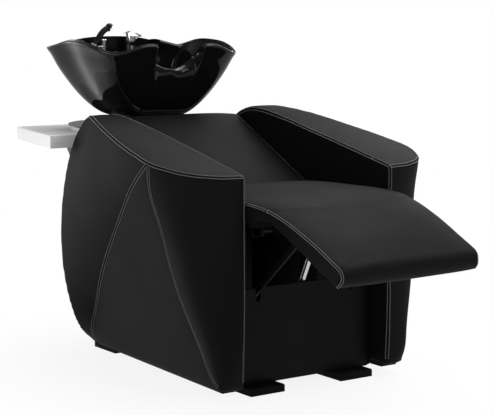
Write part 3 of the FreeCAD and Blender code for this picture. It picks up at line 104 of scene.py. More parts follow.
# The right arm's fuller top: its rise, and where it starts to grow and over what run, in shares of the
# arm's length along the arm and in metres up its sides.
FULLER_RISE = 0.009
FULLER_ALONG = 0.45
FULLER_ALONG_RUN = 0.45
FULLER_UP = 0.55
FULLER_UP_RUN = 0.12

DOWN = Vector((0, 0, -1))
RAY_CLEARANCE = 0.1
WELD = 1e-5


def mm(across, along, height):
    """A point in metres from millimetres with Y counted from the front of the arms."""
    return Vector((across / 1000, along / 1000 + ARM_FRONT_Y, height / 1000))


def share_of(way, run):
    """The share of a run that a way along it covers: 0 before its start, 1 from its end on."""
    return min(max(way / run, 0.0), 1.0)


def eased(height, share):
    """A height that grows from 0 to its full size with a share, with soft ends."""
    return height * share * share * (3 - 2 * share)


# Settings


def length_setting(name, description, default, low, high):
    return FloatProperty(
        name=name, description=description, default=default, min=low, max=high, unit="LENGTH")


def colour_setting(name, description, default):
    return FloatVectorProperty(
        name=name, description=description, size=3, subtype="COLOR", default=default, min=0, max=1)


def place_setting(name, description, default):
    return FloatVectorProperty(
        name=name, description=description, size=3, subtype="TRANSLATION", default=default, unit="LENGTH")


class WashBedVinyl(bpy.types.PropertyGroup):
    colour: colour_setting("Vinyl colour", "Base colour of the upholstery", (0.0050, 0.0050, 0.0052))
    deep_colour: colour_setting("Grain colour", "Colour in the grain's valleys", (0.0030, 0.0030, 0.0032))
    grain: length_setting("Grain size", "Width of one pebble of the grain", 0.0014, 0.0004, 0.01)
    roll: length_setting("Edge roll", "Radius of the cushions' rolled edges", 0.007, 0.002, 0.02)
    arm_remesh: length_setting("Arm mesh size", "Edge length of the arms' mesh", 0.0075, 0.003, 0.02)
    pressure: FloatProperty(
        name="Filling pressure", description="How hard the filling presses on the cover", default=4.0,
        min=0, max=20)
    swell_cap: length_setting("Swell limit", "Furthest a point of a cushion may move out", 0.009, 0, 0.04)


class WashBedSeams(bpy.types.PropertyGroup):
    spacing: length_setting(
        "Row spacing", "Distance between the two rows of a twin seam", 0.0095, 0.003, 0.03)
    ridge: length_setting("Ridge radius", "Radius of the folded edge along a row", 0.0013, 0.0005, 0.006)
    thread: length_setting("Thread radius", "Radius of the sewing thread", 0.00078, 0.0002, 0.003)
    stitch: length_setting("Stitch length", "Length of one stitch", 0.0072, 0.002, 0.02)
    colour: colour_setting("Thread colour", "Colour of the sewing thread", (0.33, 0.33, 0.33))


class WashBedGlaze(bpy.types.PropertyGroup):
    colour: colour_setting("Glaze colour", "Colour of the basin's glaze", (0.006, 0.006, 0.007))
    roughness: FloatProperty(
        name="Glaze roughness", description="0 is a mirror", default=0.05, min=0, max=1)


class WashBedStage(bpy.types.PropertyGroup):
    camera_place: place_setting("Camera place", "Where the camera stands", (-2.6245, -3.8411, 1.0717))
    camera_target: place_setting(
        "Camera target", "The point that the camera looks at", (0.18395, 0.16988, 0.450))
    lens: FloatProperty(
        name="Lens", description="Focal length on a 36 mm frame", default=110.05, min=20, max=300)
    floor_colour: colour_setting("Floor colour", "Colour of the floor", (0.86, 0.86, 0.86))
    floor_size: length_setting("Floor size", "Half the width of the floor", 14.0, 2, 50)


SETTINGS = {
    "wash_bed_vinyl": WashBedVinyl,
    "wash_bed_seams": WashBedSeams,
    "wash_bed_glaze": WashBedGlaze,
    "wash_bed_stage": WashBedStage,
}


# Shader groups


def new_group(name, inputs, outputs):
    """(group, entry, exit) of a shader node group of plain values, or (group, None, None) if it exists.
    inputs are (name, value) and outputs are names."""
    if name in bpy.data.node_groups:
        return bpy.data.node_groups[name], None, None
    group = bpy.data.node_groups.new(name, "ShaderNodeTree")
    for label, value in inputs:
        socket = group.interface.new_socket(name=label, in_out="INPUT", socket_type="NodeSocketFloat")
        socket.default_value = value
    for label in outputs:
        group.interface.new_socket(name=label, in_out="OUTPUT", socket_type="NodeSocketFloat")
    return group, group.nodes.new("NodeGroupInput"), group.nodes.new("NodeGroupOutput")


def wire(tree, source, target):
    tree.links.new(source, target)


def math_node(tree, operation, first, second=None):
    node = tree.nodes.new("ShaderNodeMath")
    node.operation = operation
    for index, value in enumerate((first, second)):
        if value is None:
            continue
        if isinstance(value, (int, float)):
            node.inputs[index].default_value = value
        else:
            wire(tree, value, node.inputs[index])
    return node.outputs[0]


def mix_node(tree, factor, first, second):
    node = tree.nodes.new("ShaderNodeMix")
    node.data_type = "RGBA"
    for socket, value in ((node.inputs[0], factor), (node.inputs[6], first), (node.inputs[7], second)):
        if isinstance(value, (int, float)):
            socket.default_value = value
        elif isinstance(value, tuple):
            socket.default_value = (*value, 1)
        else:
            wire(tree, value, socket)
    return node.outputs[2]


def ramp_node(tree, source, low, high):
    """Stretches a value between low and high to 0 and 1."""
    node = tree.nodes.new("ShaderNodeMapRange")
    node.inputs["From Min"].default_value = low
    node.inputs["From Max"].default_value = high
    wire(tree, source, node.inputs["Value"])
    return node.outputs[0]


def noise_node(tree, vector, scale, detail=3.0, roughness=0.5):
    node = tree.nodes.new("ShaderNodeTexNoise")
    node.inputs["Detail"].default_value = detail
    node.inputs["Roughness"].default_value = roughness
    if isinstance(scale, (int, float)):
        node.inputs["Scale"].default_value = scale
    else:
        wire(tree, scale, node.inputs["Scale"])
    wire(tree, vector, node.inputs["Vector"])
    return node.outputs["Fac"]


def place_vector(tree, stretch=None):
    """The piece's own coordinates in metres, stretched along its axes if asked."""
    coordinates = tree.nodes.new("ShaderNodeTexCoord").outputs["Object"]
    if stretch is None:
        return coordinates
    mapping = tree.nodes.new("ShaderNodeMapping")
    mapping.inputs["Scale"].default_value = stretch
    wire(tree, coordinates, mapping.inputs["Vector"])
    return mapping.outputs[0]


def leather_grain_group():
    """Pebbled grain with fine creases. Height is for bump, Valley marks the low places."""
    group, entry, leave = new_group(
        "leather_grain", (("Pebble Scale", 700.0), ("Crease Scale", 60.0), ("Crease Depth", 0.35)),
        ("Height", "Valley"))
    if entry is None:
        return group
    vector = place_vector(group)
    warp = noise_node(group, vector, 220.0, 2.0)
    shift = group.nodes.new("ShaderNodeVectorMath")
    shift.operation = "SCALE"
    wire(group, vector, shift.inputs[0])
    wobble = math_node(group, "MULTIPLY", warp, 0.0016)
    wire(group, math_node(group, "ADD", wobble, 1.0), shift.inputs["Scale"])
    pebbles = group.nodes.new("ShaderNodeTexVoronoi")
    pebbles.feature = "DISTANCE_TO_EDGE"
    wire(group, shift.outputs[0], pebbles.inputs["Vector"])
    wire(group, entry.outputs["Pebble Scale"], pebbles.inputs["Scale"])
    edge = ramp_node(group, pebbles.outputs["Distance"], 0.0, 0.22)
    creases = noise_node(group, vector, entry.outputs["Crease Scale"], 4.0, 0.6)
    deep = math_node(group, "MULTIPLY", creases, entry.outputs["Crease Depth"])
    wire(group, math_node(group, "ADD", edge, deep), leave.inputs["Height"])
    wire(group, math_node(group, "SUBTRACT", 1.0, edge), leave.inputs["Valley"])
    return group


def surface_age_group():
    """Slow mottling, rubbed patches and dust on upward faces."""
    group, entry, leave = new_group(
        "surface_age", (("Patch Scale", 4.0), ("Speck Scale", 180.0), ("Dust", 0.2)),
        ("Patches", "Specks", "Dust"))
    if entry is None:
        return group
    vector = place_vector(group)
    patches = noise_node(group, vector, entry.outputs["Patch Scale"], 4.0, 0.55)
    specks = noise_node(group, vector, entry.outputs["Speck Scale"], 2.0, 0.7)
    normal = group.nodes.new("ShaderNodeSeparateXYZ")
    wire(group, group.nodes.new("ShaderNodeTexCoord").outputs["Normal"], normal.inputs[0])
    up = ramp_node(group, normal.outputs["Z"], 0.4, 1.0)
    film = math_node(group, "MULTIPLY", up, ramp_node(group, specks, 0.35, 0.8))
    wire(group, ramp_node(group, patches, 0.3, 0.7), leave.inputs["Patches"])
    wire(group, specks, leave.inputs["Specks"])
    wire(group, math_node(group, "MULTIPLY", film, entry.outputs["Dust"]), leave.inputs["Dust"])
    return group


def orange_peel_group():
    """The small waves of sprayed or moulded surfaces."""
    group, entry, leave = new_group(
        "orange_peel", (("Wave Scale", 420.0), ("Fine Scale", 1600.0), ("Fine Share", 0.3)), ("Height",))
    if entry is None:
        return group
    vector = place_vector(group)
    waves = noise_node(group, vector, entry.outputs["Wave Scale"], 1.0)
    fine = noise_node(group, vector, entry.outputs["Fine Scale"], 1.0)
    fine_waves = math_node(group, "MULTIPLY", fine, entry.outputs["Fine Share"])
    wire(group, math_node(group, "ADD", waves, fine_waves), leave.inputs["Height"])
    return group


def drawn_lines_group():
    """Fine lines along Z, as on drawn, ground or sawn stock."""
    group, entry, leave = new_group(
        "drawn_lines", (("Across Scale", 900.0), ("Along Scale", 14.0)), ("Lines",))
    if entry is None:
        return group
    vector = place_vector(group)
    parts = group.nodes.new("ShaderNodeSeparateXYZ")
    wire(group, vector, parts.inputs[0])
    joined = group.nodes.new("ShaderNodeCombineXYZ")
    for axis, scale in (("X", "Across Scale"), ("Y", "Across Scale"), ("Z", "Along Scale")):
        stretched = math_node(group, "MULTIPLY", parts.outputs[axis], entry.outputs[scale])
        wire(group, stretched, joined.inputs[axis])
    wire(group, noise_node(group, joined.outputs[0], 1.0, 3.0, 0.6), leave.inputs["Lines"])
    return group


# Materials


def start_material(name, base, roughness, metallic=0.0):
    """(material, tree, shader) with a plain Principled surface, or (material, None, None) if it exists."""
    if name in bpy.data.materials:
        return bpy.data.materials[name], None, None
    material = bpy.data.materials.new(name)
    material.use_nodes = True
    tree = material.node_tree
    shader = tree.nodes["Principled BSDF"]
    shader.inputs["Base Color"].default_value = (*base, 1)
    shader.inputs["Roughness"].default_value = roughness
    shader.inputs["Metallic"].default_value = metallic
    material.diffuse_color = (*base, 1)
    return material, tree, shader


def add_group(tree, group, **values):
    node = tree.nodes.new("ShaderNodeGroup")
    node.node_tree = group
    for name, value in values.items():
        node.inputs[name.replace("_", " ")].default_value = value
    return node


def shaded(colour, factor):
    return tuple(factor * value for value in colour)


def bump(tree, shader, height, distance, strength=1.0):
    node = tree.nodes.new("ShaderNodeBump")
    node.inputs["Distance"].default_value = distance
    node.inputs["Strength"].default_value = strength
    wire(tree, height, node.inputs["Height"])
    wire(tree, node.outputs[0], shader.inputs["Normal"])


def vary(tree, shader, source, low, high):
    """Roughness runs from low to high as source runs from 0 to 1."""
    node = tree.nodes.new("ShaderNodeMapRange")
    node.inputs["To Min"].default_value = low
    node.inputs["To Max"].default_value = high
    wire(tree, source, node.inputs["Value"])
    wire(tree, node.outputs[0], shader.inputs["Roughness"])


def vinyl_material():
    settings = bpy.context.scene.wash_bed_vinyl
    colour = tuple(settings.colour)
    material, tree, shader = start_material("black_vinyl_cover", colour, 0.67)
    if tree is None:
        return material
    grain = add_group(tree, leather_grain_group(), Pebble_Scale=1 / settings.grain, Crease_Scale=48.0)
    age = add_group(tree, surface_age_group(), Patch_Scale=3.2, Dust=0.10)
    tone = mix_node(tree, grain.outputs["Valley"], colour, tuple(settings.deep_colour))
    rubbed = math_node(tree, "MULTIPLY", age.outputs["Patches"], 0.35)
    tone = mix_node(tree, rubbed, tone, shaded(colour, 1.35))
    tone = mix_node(tree, age.outputs["Dust"], tone, (0.03, 0.03, 0.03))
    wire(tree, tone, shader.inputs["Base Color"])
    vary(tree, shader, age.outputs["Patches"], low=0.62, high=0.72)
    shader.inputs["Specular IOR Level"].default_value = 0.075
    bump(tree, shader, grain.outputs["Height"], distance=0.00014, strength=0.8)
    return material


def piping_material():
    settings = bpy.context.scene.wash_bed_vinyl
    colour = shaded(settings.colour, 0.9)
    material, tree, shader = start_material("folded_vinyl_edge", colour, 0.6)
    if tree is None:
        return material
    grain = add_group(tree, leather_grain_group(), Pebble_Scale=1 / settings.grain, Crease_Scale=90.0)
    tone = mix_node(tree, grain.outputs["Valley"], colour, tuple(settings.deep_colour))
    wire(tree, tone, shader.inputs["Base Color"])
    shader.inputs["Specular IOR Level"].default_value = 0.05
    bump(tree, shader, grain.outputs["Height"], distance=0.0001)
    return material


def thread_material():
    colour = tuple(bpy.context.scene.wash_bed_seams.colour)
    material, tree, shader = start_material("grey_thread", colour, 0.6)
    if tree is None:
        return material
    age = add_group(tree, surface_age_group(), Patch_Scale=30.0, Speck_Scale=1500.0)
    tone = mix_node(tree, age.outputs["Specks"], shaded(colour, 0.6), colour)
    wire(tree, tone, shader.inputs["Base Color"])
    bump(tree, shader, age.outputs["Specks"], distance=0.0002)
    return material


def powder_coat_material(name="black_powder_coat", colour=(0.0045, 0.0045, 0.0048), gloss=0.40):
    material, tree, shader = start_material(name, colour, gloss)
    if tree is None:
        return material
    peel = add_group(tree, orange_peel_group())
    age = add_group(tree, surface_age_group(), Patch_Scale=7.0, Speck_Scale=260.0, Dust=0.16)
    worn = math_node(tree, "MULTIPLY", age.outputs["Patches"], 0.4)
    tone = mix_node(tree, worn, colour, shaded(colour, 1.5))
    tone = mix_node(tree, age.outputs["Dust"], tone, (0.02, 0.0195, 0.019))
    wire(tree, tone, shader.inputs["Base Color"])
    vary(tree, shader, age.outputs["Patches"], low=gloss - 0.06, high=gloss + 0.08)
    shader.inputs["Specular IOR Level"].default_value = 0.08
    bump(tree, shader, peel.outputs["Height"], distance=0.00009)
    return material


def moulded_plastic_material():
    colour = (0.008, 0.008, 0.0085)
    material, tree, shader = start_material("black_moulded_plastic", colour, 0.44)
    if tree is None:
        return material
    peel = add_group(tree, orange_peel_group(), Wave_Scale=900.0, Fine_Scale=2600.0, Fine_Share=0.8)
    age = add_group(tree, surface_age_group(), Patch_Scale=9.0, Dust=0.12)
    wire(tree, mix_node(tree, age.outputs["Dust"], colour, (0.05, 0.05, 0.05)), shader.inputs["Base Color"])
    vary(tree, shader, age.outputs["Patches"], low=0.38, high=0.52)
    shader.inputs["Specular IOR Level"].default_value = 0.15
    bump(tree, shader, peel.outputs["Height"], distance=0.00012)
    return material


def steel_material():
    colour = (0.58, 0.58, 0.59)
    material, tree, shader = start_material("ground_steel", colour, 0.22, 1.0)
    if tree is None:
        return material
    lines = add_group(tree, drawn_lines_group(), Across_Scale=1400.0, Along_Scale=30.0)
    age = add_group(tree, surface_age_group(), Patch_Scale=22.0)
    tone = mix_node(tree, lines.outputs["Lines"], (0.48, 0.48, 0.49), (0.66, 0.66, 0.67))
    wire(tree, tone, shader.inputs["Base Color"])
    vary(tree, shader, age.outputs["Patches"], low=0.16, high=0.30)
    bump(tree, shader, lines.outputs["Lines"], distance=0.00004)
    return material


def chrome_material():
    colour = (0.82, 0.82, 0.84)
    material, tree, shader = start_material("polished_chrome", colour, 0.06, 1.0)
    if tree is None:
        return material
    age = add_group(tree, surface_age_group(), Patch_Scale=35.0, Speck_Scale=420.0)
    tone = mix_node(tree, age.outputs["Patches"], colour, (0.74, 0.75, 0.78))
    wire(tree, tone, shader.inputs["Base Color"])
    vary(tree, shader, age.outputs["Specks"], low=0.03, high=0.12)
    return material


def plywood_material():
    # The near-black colours are painted shade: the boards sit in the shadow under the cushions, and their
    # wood is darkened to that shade.
    colour = (0.006, 0.0055, 0.005)
    material, tree, shader = start_material("plywood_painted_shade_black", colour, 0.75)
    if tree is None:
        return material
    vector = place_vector(tree, (6.0, 90.0, 260.0))
    rings = noise_node(tree, vector, 1.0, 5.0, 0.6)
    late_wood = ramp_node(tree, rings, 0.35, 0.65)
    tone = mix_node(tree, late_wood, (0.004, 0.0038, 0.0035), (0.009, 0.008, 0.007))
    wire(tree, tone, shader.inputs["Base Color"])
    vary(tree, shader, rings, low=0.65, high=0.85)
    shader.inputs["Specular IOR Level"].default_value = 0.1
    bump(tree, shader, rings, distance=0.0003)
    return material


def laminate_material():
    """White sheet, with painted shade on its left-facing long edge: faces turned towards -X are greyed the
    more they turn that way.
    """
    colour = (0.96, 0.96, 0.955)
    painted_shade_colour = (0.66, 0.66, 0.655)
    material, tree, shader = start_material("white_laminate", colour, 0.24)
    if tree is None:
        return material
    peel = add_group(tree, orange_peel_group(), Wave_Scale=160.0, Fine_Scale=900.0)
    age = add_group(tree, surface_age_group(), Patch_Scale=5.0, Dust=0.05)
    aged = math_node(tree, "MULTIPLY", age.outputs["Patches"], 0.3)
    tone = mix_node(tree, aged, colour, (0.92, 0.92, 0.915))
    # Painted shade: left-facing faces are mixed towards the grey shade colour by how far they face -X.
    surface = tree.nodes.new("ShaderNodeNewGeometry")
    normal = tree.nodes.new("ShaderNodeSeparateXYZ")
    wire(tree, surface.outputs["True Normal"], normal.inputs["Vector"])
    facing_left = math_node(tree, "MULTIPLY", normal.outputs["X"], -1.0)
    painted_shade_share = math_node(tree, "MAXIMUM", facing_left, 0.0)
    wire(tree, mix_node(tree, painted_shade_share, tone, painted_shade_colour), shader.inputs["Base Color"])
    vary(tree, shader, age.outputs["Patches"], low=0.18, high=0.30)
    bump(tree, shader, peel.outputs["Height"], distance=0.00004)
    return material


def gloss_black_material():
    colour = (0.008, 0.008, 0.0085)
    material, tree, shader = start_material("gloss_black_acrylic", colour, 0.08)
    if tree is None:
        return material
    age = add_group(tree, surface_age_group(), Patch_Scale=12.0, Speck_Scale=500.0, Dust=0.03)
    wire(tree, mix_node(tree, age.outputs["Dust"], colour, (0.2, 0.2, 0.2)), shader.inputs["Base Color"])
    vary(tree, shader, age.outputs["Patches"], low=0.05, high=0.14)
    return material


def glaze_material():
    settings = bpy.context.scene.wash_bed_glaze
    colour = tuple(settings.colour)
    material, tree, shader = start_material("black_basin_glaze", colour, settings.roughness)
    if tree is None:
        return material
    waves = noise_node(tree, place_vector(tree), 14.0, 2.0, 0.4)
    age = add_group(tree, surface_age_group(), Patch_Scale=10.0, Speck_Scale=700.0, Dust=0.02)
    wire(tree, mix_node(tree, age.outputs["Dust"], colour, (0.15, 0.15, 0.15)), shader.inputs["Base Color"])
    vary(tree, shader, age.outputs["Patches"], low=settings.roughness * 0.6, high=settings.roughness * 1.6)
    shader.inputs["Specular IOR Level"].default_value = 0.16
    bump(tree, shader, waves, distance=0.0012, strength=0.5)
    return material


def rubber_material():
    colour = (0.004, 0.004, 0.004)
    material, tree, shader = start_material("soft_black_rubber", colour, 0.8)
    if tree is None:
        return material
    age = add_group(tree, surface_age_group(), Patch_Scale=20.0, Speck_Scale=300.0, Dust=0.12)
    wire(tree, mix_node(tree, age.outputs["Dust"], colour, (0.03, 0.03, 0.03)), shader.inputs["Base Color"])
    shader.inputs["Specular IOR Level"].default_value = 0.08
    bump(tree, shader, age.outputs["Specks"], distance=0.0002)
    return material


# Mesh helpers


def add_mesh(name, shell, body, material):
    """A smooth piece from a bmesh, on a body or, with body None, on no body."""
    mesh = bpy.data.meshes.new(name)
    shell.to_mesh(mesh)
    shell.free()
    piece = bpy.data.objects.new(name, mesh)
    bpy.context.scene.collection.objects.link(piece)
    mesh.materials.append(material)
    mesh.polygons.foreach_set("use_smooth", [True] * len(mesh.polygons))
    if body:
        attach(piece, body)
    return piece


def apply_modifiers(piece):
    """Bakes the piece's modifiers into its mesh."""
    graph = bpy.context.evaluated_depsgraph_get()
    done = bpy.data.meshes.new_from_object(piece.evaluated_get(graph))
    piece.modifiers.clear()
    old = piece.data
    piece.data = done
    bpy.data.meshes.remove(old)
    return piece


def copied_solid(node, name):
    """A welded copy of a CAD node's mesh as a free object."""
    mesh = NODES[node].data.copy()
    shell = bmesh.new()
    shell.from_mesh(mesh)
    bmesh.ops.remove_doubles(shell, verts=shell.verts, dist=WELD)
    shell.to_mesh(mesh)
    shell.free()
    mesh.name = name
    piece = bpy.data.objects.new(name, mesh)
    bpy.context.scene.collection.objects.link(piece)
    return piece


def remeshed(piece, size):
    remesh = piece.modifiers.new("remesh", "REMESH")
    remesh.mode = "VOXEL"
    remesh.voxel_size = size
    return apply_modifiers(piece)


def smoothed(piece, rounds):
    smooth = piece.modifiers.new("smooth", "SMOOTH")
    smooth.factor = 0.5
    smooth.iterations = rounds
    return apply_modifiers(piece)


def surface_tree(piece):
    return BVHTree.FromPolygons(
        [vertex.co.copy() for vertex in piece.data.vertices],
        [tuple(face.vertices) for face in piece.data.polygons])


def point_finder(points):
    finder = kdtree.KDTree(len(points))
    for index, point in enumerate(points):
        finder.insert(point, index)
    finder.balance()
    return finder


def resample(points, step, parts=8):
    """Points at an even step along a smooth curve through points, drawn with a few parts to each span."""
    fine = []
    last = len(points) - 1
    for index in range(last):
        before = points[max(index - 1, 0)]
        start, end = points[index], points[index + 1]
        after = points[min(index + 2, last)]
        for part in range(parts):
            t = part / parts
            fine.append(0.5 * (
                2 * start + (end - before) * t + (2 * before - 5 * start + 4 * end - after) * t * t
                + (3 * start - before - 3 * end + after) * t * t * t))
    fine.append(points[-1])
    spans = [0.0]
    for first, second in zip(fine, fine[1:]):
        spans.append(spans[-1] + (second - first).length)
    count = max(2, round(spans[-1] / step))
    result = []
    at = 0
    for index in range(count + 1):
        goal = spans[-1] * index / count
        while at < len(spans) - 2 and spans[at + 1] < goal:
            at += 1
        span = spans[at + 1] - spans[at]
        share = (goal - spans[at]) / span if span > 1e-9 else 0.0
        result.append(fine[at].lerp(fine[at + 1], min(max(share, 0.0), 1.0)))
    return result


def tangents(points):
    result = []
    for index in range(len(points)):
        ahead = points[min(index + 1, len(points) - 1)]
        behind = points[max(index - 1, 0)]
        result.append((ahead - behind).normalized())
    return result


def soft_normals(tree, points, reach=0.012):
    """Outward normals along a path, averaged over a few nearby points so that an edge gets its middle one."""
    result = []
    for point, tangent in zip(points, tangents(points)):
        place, normal, _, _ = tree.find_nearest(point)
        total = normal.copy()
        side = tangent.cross(normal).normalized()
        for shift in (side * reach, side * -reach, normal * -reach * 0.5 + side * reach,
                      normal * -reach * 0.5 - side * reach):
            total += tree.find_nearest(place + shift)[1]
        result.append(total.normalized())
    for _ in range(3):
        result = [
            (result[max(i - 1, 0)] + result[i] * 2 + result[min(i + 1, len(result) - 1)]).normalized()
            for i in range(len(result))]
    return result


def sweep(mesh, rails, normals, radius, sides=8):
    """Adds a round tube along points to a bmesh, half as thick at its two ends."""
    rings = []
    last = len(rails) - 1
    for index, (point, normal, tangent) in enumerate(zip(rails, normals, tangents(rails))):
        side = tangent.cross(normal).normalized()
        size = radius * (0.5 if index in (0, last) else 1.0)
        ring = []
        for step in range(sides):
            angle = 2 * math.pi * step / sides
            ring.append(mesh.verts.new(point + size * (side * math.cos(angle) + normal * math.sin(angle))))
        rings.append(ring)
    for first, second in zip(rings, rings[1:]):
        for step in range(sides):
            ahead = (step + 1) % sides
            mesh.faces.new((first[step], first[ahead], second[ahead], second[step]))
    mesh.faces.new(rings[0])
    mesh.faces.new(list(reversed(rings[-1])))


def seam_row(tree, path, normals, offset):
    """The path moved sideways over the surface, and the outward directions along it."""
    places = []
    ups = []
    for point, normal, tangent in zip(path, normals, tangents(path)):
        side = tangent.cross(normal).normalized()
        place, up, _, _ = tree.find_nearest(point + side * offset)
        up = (up + normal).normalized()
        places.append(place)
        ups.append(up)
    for _ in range(4):
        inner = [(places[i - 1] + places[i] * 2 + places[i + 1]) / 4 for i in range(1, len(places) - 1)]
        places = [places[0], *inner, places[-1]]
    return places, ups


# Seams: the step of their paths and the size of a tuck in metres, how far up a ridge its thread lies, and
# where a stitch leaves the cover and comes clear of it, as shares of its length.
SEAM_STEP = 0.005
TUCK_RADIUS = 0.0011
TUCK_COURSE = ((-0.008, 0.0), (-0.004, 0.0), (0.0, 0.001), (0.001, 0.004), (0.001, 0.007))
THREAD_ON_RIDGE = 0.92
STITCH_LEAVES = 0.10
STITCH_CLEARS = 0.20


def add_twin_seams(name, piece, paths, body, rows=(-0.5, 0.5)):
    """Folded edges with a row of stitches on each, along every path, on the piece's surface. rows holds
    their places across the seam in row spacings."""
    settings = bpy.context.scene.wash_bed_seams
    tree = surface_tree(piece)
    folds = bmesh.new()
    threads = bmesh.new()
    for path in paths:
        points = [tree.find_nearest(point)[0] for point in resample(path, SEAM_STEP)]
        normals = soft_normals(tree, points)
        for row in rows:
            places, ups = seam_row(tree, points, normals, row * settings.spacing)
            sweep(folds, places, ups, settings.ridge)
            crest = [place + up * settings.ridge * THREAD_ON_RIDGE for place, up in zip(places, ups)]
            add_stitches(threads, crest, ups, settings.stitch, settings.thread)
    return [
        add_mesh(name + "_folds", folds, body, piping_material()),
        add_mesh(name + "_thread", threads, body, thread_material())]


def add_stitches(shell, places, ups, length, radius):
    """Short capsules end to end along a row, each dipping into the cover at its ends."""
    row = resample(places, length)
    finder = point_finder(places)
    for start, end in zip(row, row[1:]):
        up = ups[finder.find((start + end) / 2)[1]]
        run = end - start
        sink = up * radius * 0.9
        rise = sink * 0.2
        line = [
            start + run * STITCH_LEAVES - sink, start + run * STITCH_CLEARS + rise,
            start + run * (1 - STITCH_CLEARS) + rise, end - run * STITCH_LEAVES - sink]
        sweep(shell, line, [up] * len(line), radius, sides=5)


# Upholstery


def distance_finder(paths, step=0.006):
    return point_finder([point for path in paths for point in resample(path, step)])


def puff(piece, finder, height, reach, dip, dip_reach):
    """Lifts a cover by height at some reach from its seams, and draws it in by dip along them."""
    mesh = piece.data
    normals = [vertex.normal.copy() for vertex in mesh.vertices]
    for vertex, normal in zip(mesh.vertices, normals):
        gap = finder.find(vertex.co)[2]
        rise = height * (1 - math.exp(-gap / reach)) - dip * math.exp(-(gap / dip_reach) ** 2)
        vertex.co += normal * rise
    mesh.update()


def draw_onto(piece, tree):
    """Puts every point of a remeshed cover back on the solid's surface."""
    for vertex in piece.data.vertices:
        place = tree.find_nearest(vertex.co)[0]
        if place is not None:
            vertex.co = place
    piece.data.update()


def roof_edge(tree, top, side, across, along):
    """The outermost point of the arm's roof on the way from its middle to a point (across, along). It is
    looked for from 40 to 117 hundredths of the way, until the roof turns down into the side."""
    start = Vector((ROOF_MIDDLE, min(max(along, ROOF_FRONT), ROOF_REAR)))
    run = Vector((across, along)) - start
    best = None
    for hundredth in range(40, 118):
        place = start + run * (hundredth / 100)
        point = mm(place.x, place.y, 0)
        hit, normal, _, _ = tree.ray_cast(Vector((side * point.x, point.y, top + RAY_CLEARANCE)), DOWN)
        if hit is None or abs(normal.x) > ROOF_TILT or normal.z < ROOF_LEVEL:
            break
        best = hit
    return best


def arm_seams(side):
    """Seam paths of one arm (side 1 right, -1 left) on the CAD arm's surface: the roof's outer and inner
    edges, the inner edge of the front, and both edges of the flat triangle."""
    node = "arm_right" if side > 0 else "arm_left"
    low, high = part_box(node)
    tree = surface_tree(NODES[node])

    def on_top(across, along):
        point = mm(across, along, 0)
        hit = tree.ray_cast(Vector((side * point.x, point.y, high.z + RAY_CLEARANCE)), DOWN)[0]
        return hit if hit is not None else tree.find_nearest(Vector((side * point.x, point.y, high.z)))[0]

    outer = [roof_edge(tree, high.z, side, across, along) for across, along in TOP_SEAM]
    outer = [point for point in outer if point is not None]
    inner = [on_top(ARM_INNER * 1000 + INNER_SEAM_INSET, along) for along in INNER_SEAM_ALONG]
    front = inner[:1] + [
        Vector((side * ARM_INNER, low.y + FRONT_SEAM_INSET / 1000, height / 1000))
        for height in FRONT_SEAM_HEIGHTS]
    flip = Vector((side, 1, 1))
    rear = [mm(*point) * flip for point in MIDDLE_SEAM_REAR]
    fore = [mm(*point) * flip for point in MIDDLE_SEAM_FRONT]
    return outer, inner, front, fore, rear


def fuller_top(piece):
    """The right arm is stuffed a little higher towards the basin than the left one."""
    for vertex in piece.data.vertices:
        along = (vertex.co.y - ARM_FRONT_Y) / ARM_LENGTH
        rise = eased(FULLER_RISE, share_of(along - FULLER_ALONG, FULLER_ALONG_RUN))
        vertex.co.z += rise * share_of(vertex.co.z - FULLER_UP, FULLER_UP_RUN)
    piece.data.update()


def make_arm(side):
    settings = bpy.context.scene.wash_bed_vinyl
    node = "arm_right" if side > 0 else "arm_left"
    seams = arm_seams(side)
    piece = copied_solid(node, node + "_upholstery")
    tree = surface_tree(piece)
    remeshed(piece, settings.arm_remesh)
    draw_onto(piece, tree)
    smoothed(piece, 2)
    if side > 0:
        fuller_top(piece)
    puff(piece, distance_finder(seams), **ARM_STUFFING)
    finish_cover(piece, node)
    add_twin_seams(node, piece, seams, BODY_OF[node])
    add_tick(node + "_tick", piece, mm(ARM_INNER * 1000 * side, TUCK_ALONG, TUCK_HEIGHT), BODY_OF[node])


def finish_cover(piece, *nodes, rides=True):
    """Vinyl in a slot and smooth shading of a cover that stands for CAD nodes, which it hides. With rides
    False it stays on no body.
    """
    mesh = piece.data
    mesh.materials.clear()
    mesh.materials.append(vinyl_material())
    mesh.polygons.foreach_set("use_smooth", [True] * len(mesh.polygons))
    if rides:
        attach(piece, BODY_OF[nodes[0]])
    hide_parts(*nodes)


def inflate(piece, pressure, cap, held, frames=20):
    """Blows the cover up from inside as cloth with its borders held. No point moves further than the cap."""
    rest = [vertex.co.copy() for vertex in piece.data.vertices]
    group = piece.vertex_groups.new(name="held")
    for index, weight in enumerate(held):
        if weight > 0:
            group.add([index], weight, "REPLACE")
    cloth = piece.modifiers.new("cover", "CLOTH")
    cloth.settings.use_pressure = True
    cloth.settings.uniform_pressure_force = pressure
    cloth.settings.vertex_group_mass = "held"
    cloth.settings.effector_weights.gravity = 0.0
    cloth.settings.quality = 5
    cloth.point_cache.frame_start = 1
    cloth.point_cache.frame_end = frames
    scene = bpy.context.scene
    for number in range(1, frames + 1):
        scene.frame_set(number)
    apply_modifiers(piece)
    scene.frame_set(1)
    piece.vertex_groups.clear()
    for vertex, start in zip(piece.data.vertices, rest):
        shift = vertex.co - start
        if shift.length > cap:
            vertex.co = start + shift * (cap / shift.length)
    piece.data.update()


def cushion_stations(roll_share, count=24):
    """Shares of the half width from -1 to 1, and how far the edge is rolled over (0 to 1) at each one:
    count even steps to each side of the middle, then the roll."""
    flat = 1 - roll_share
    inner = [(flat * index / count, 0.0) for index in range(count)]
    turns = (0.0, 0.4, 0.8, 1.2, math.pi / 2)
    rolled = [(flat + roll_share * math.sin(turn), 1 - math.cos(turn)) for turn in turns]
    right = inner + rolled
    return [(-share, rolled_over) for share, rolled_over in reversed(right[1:])] + right


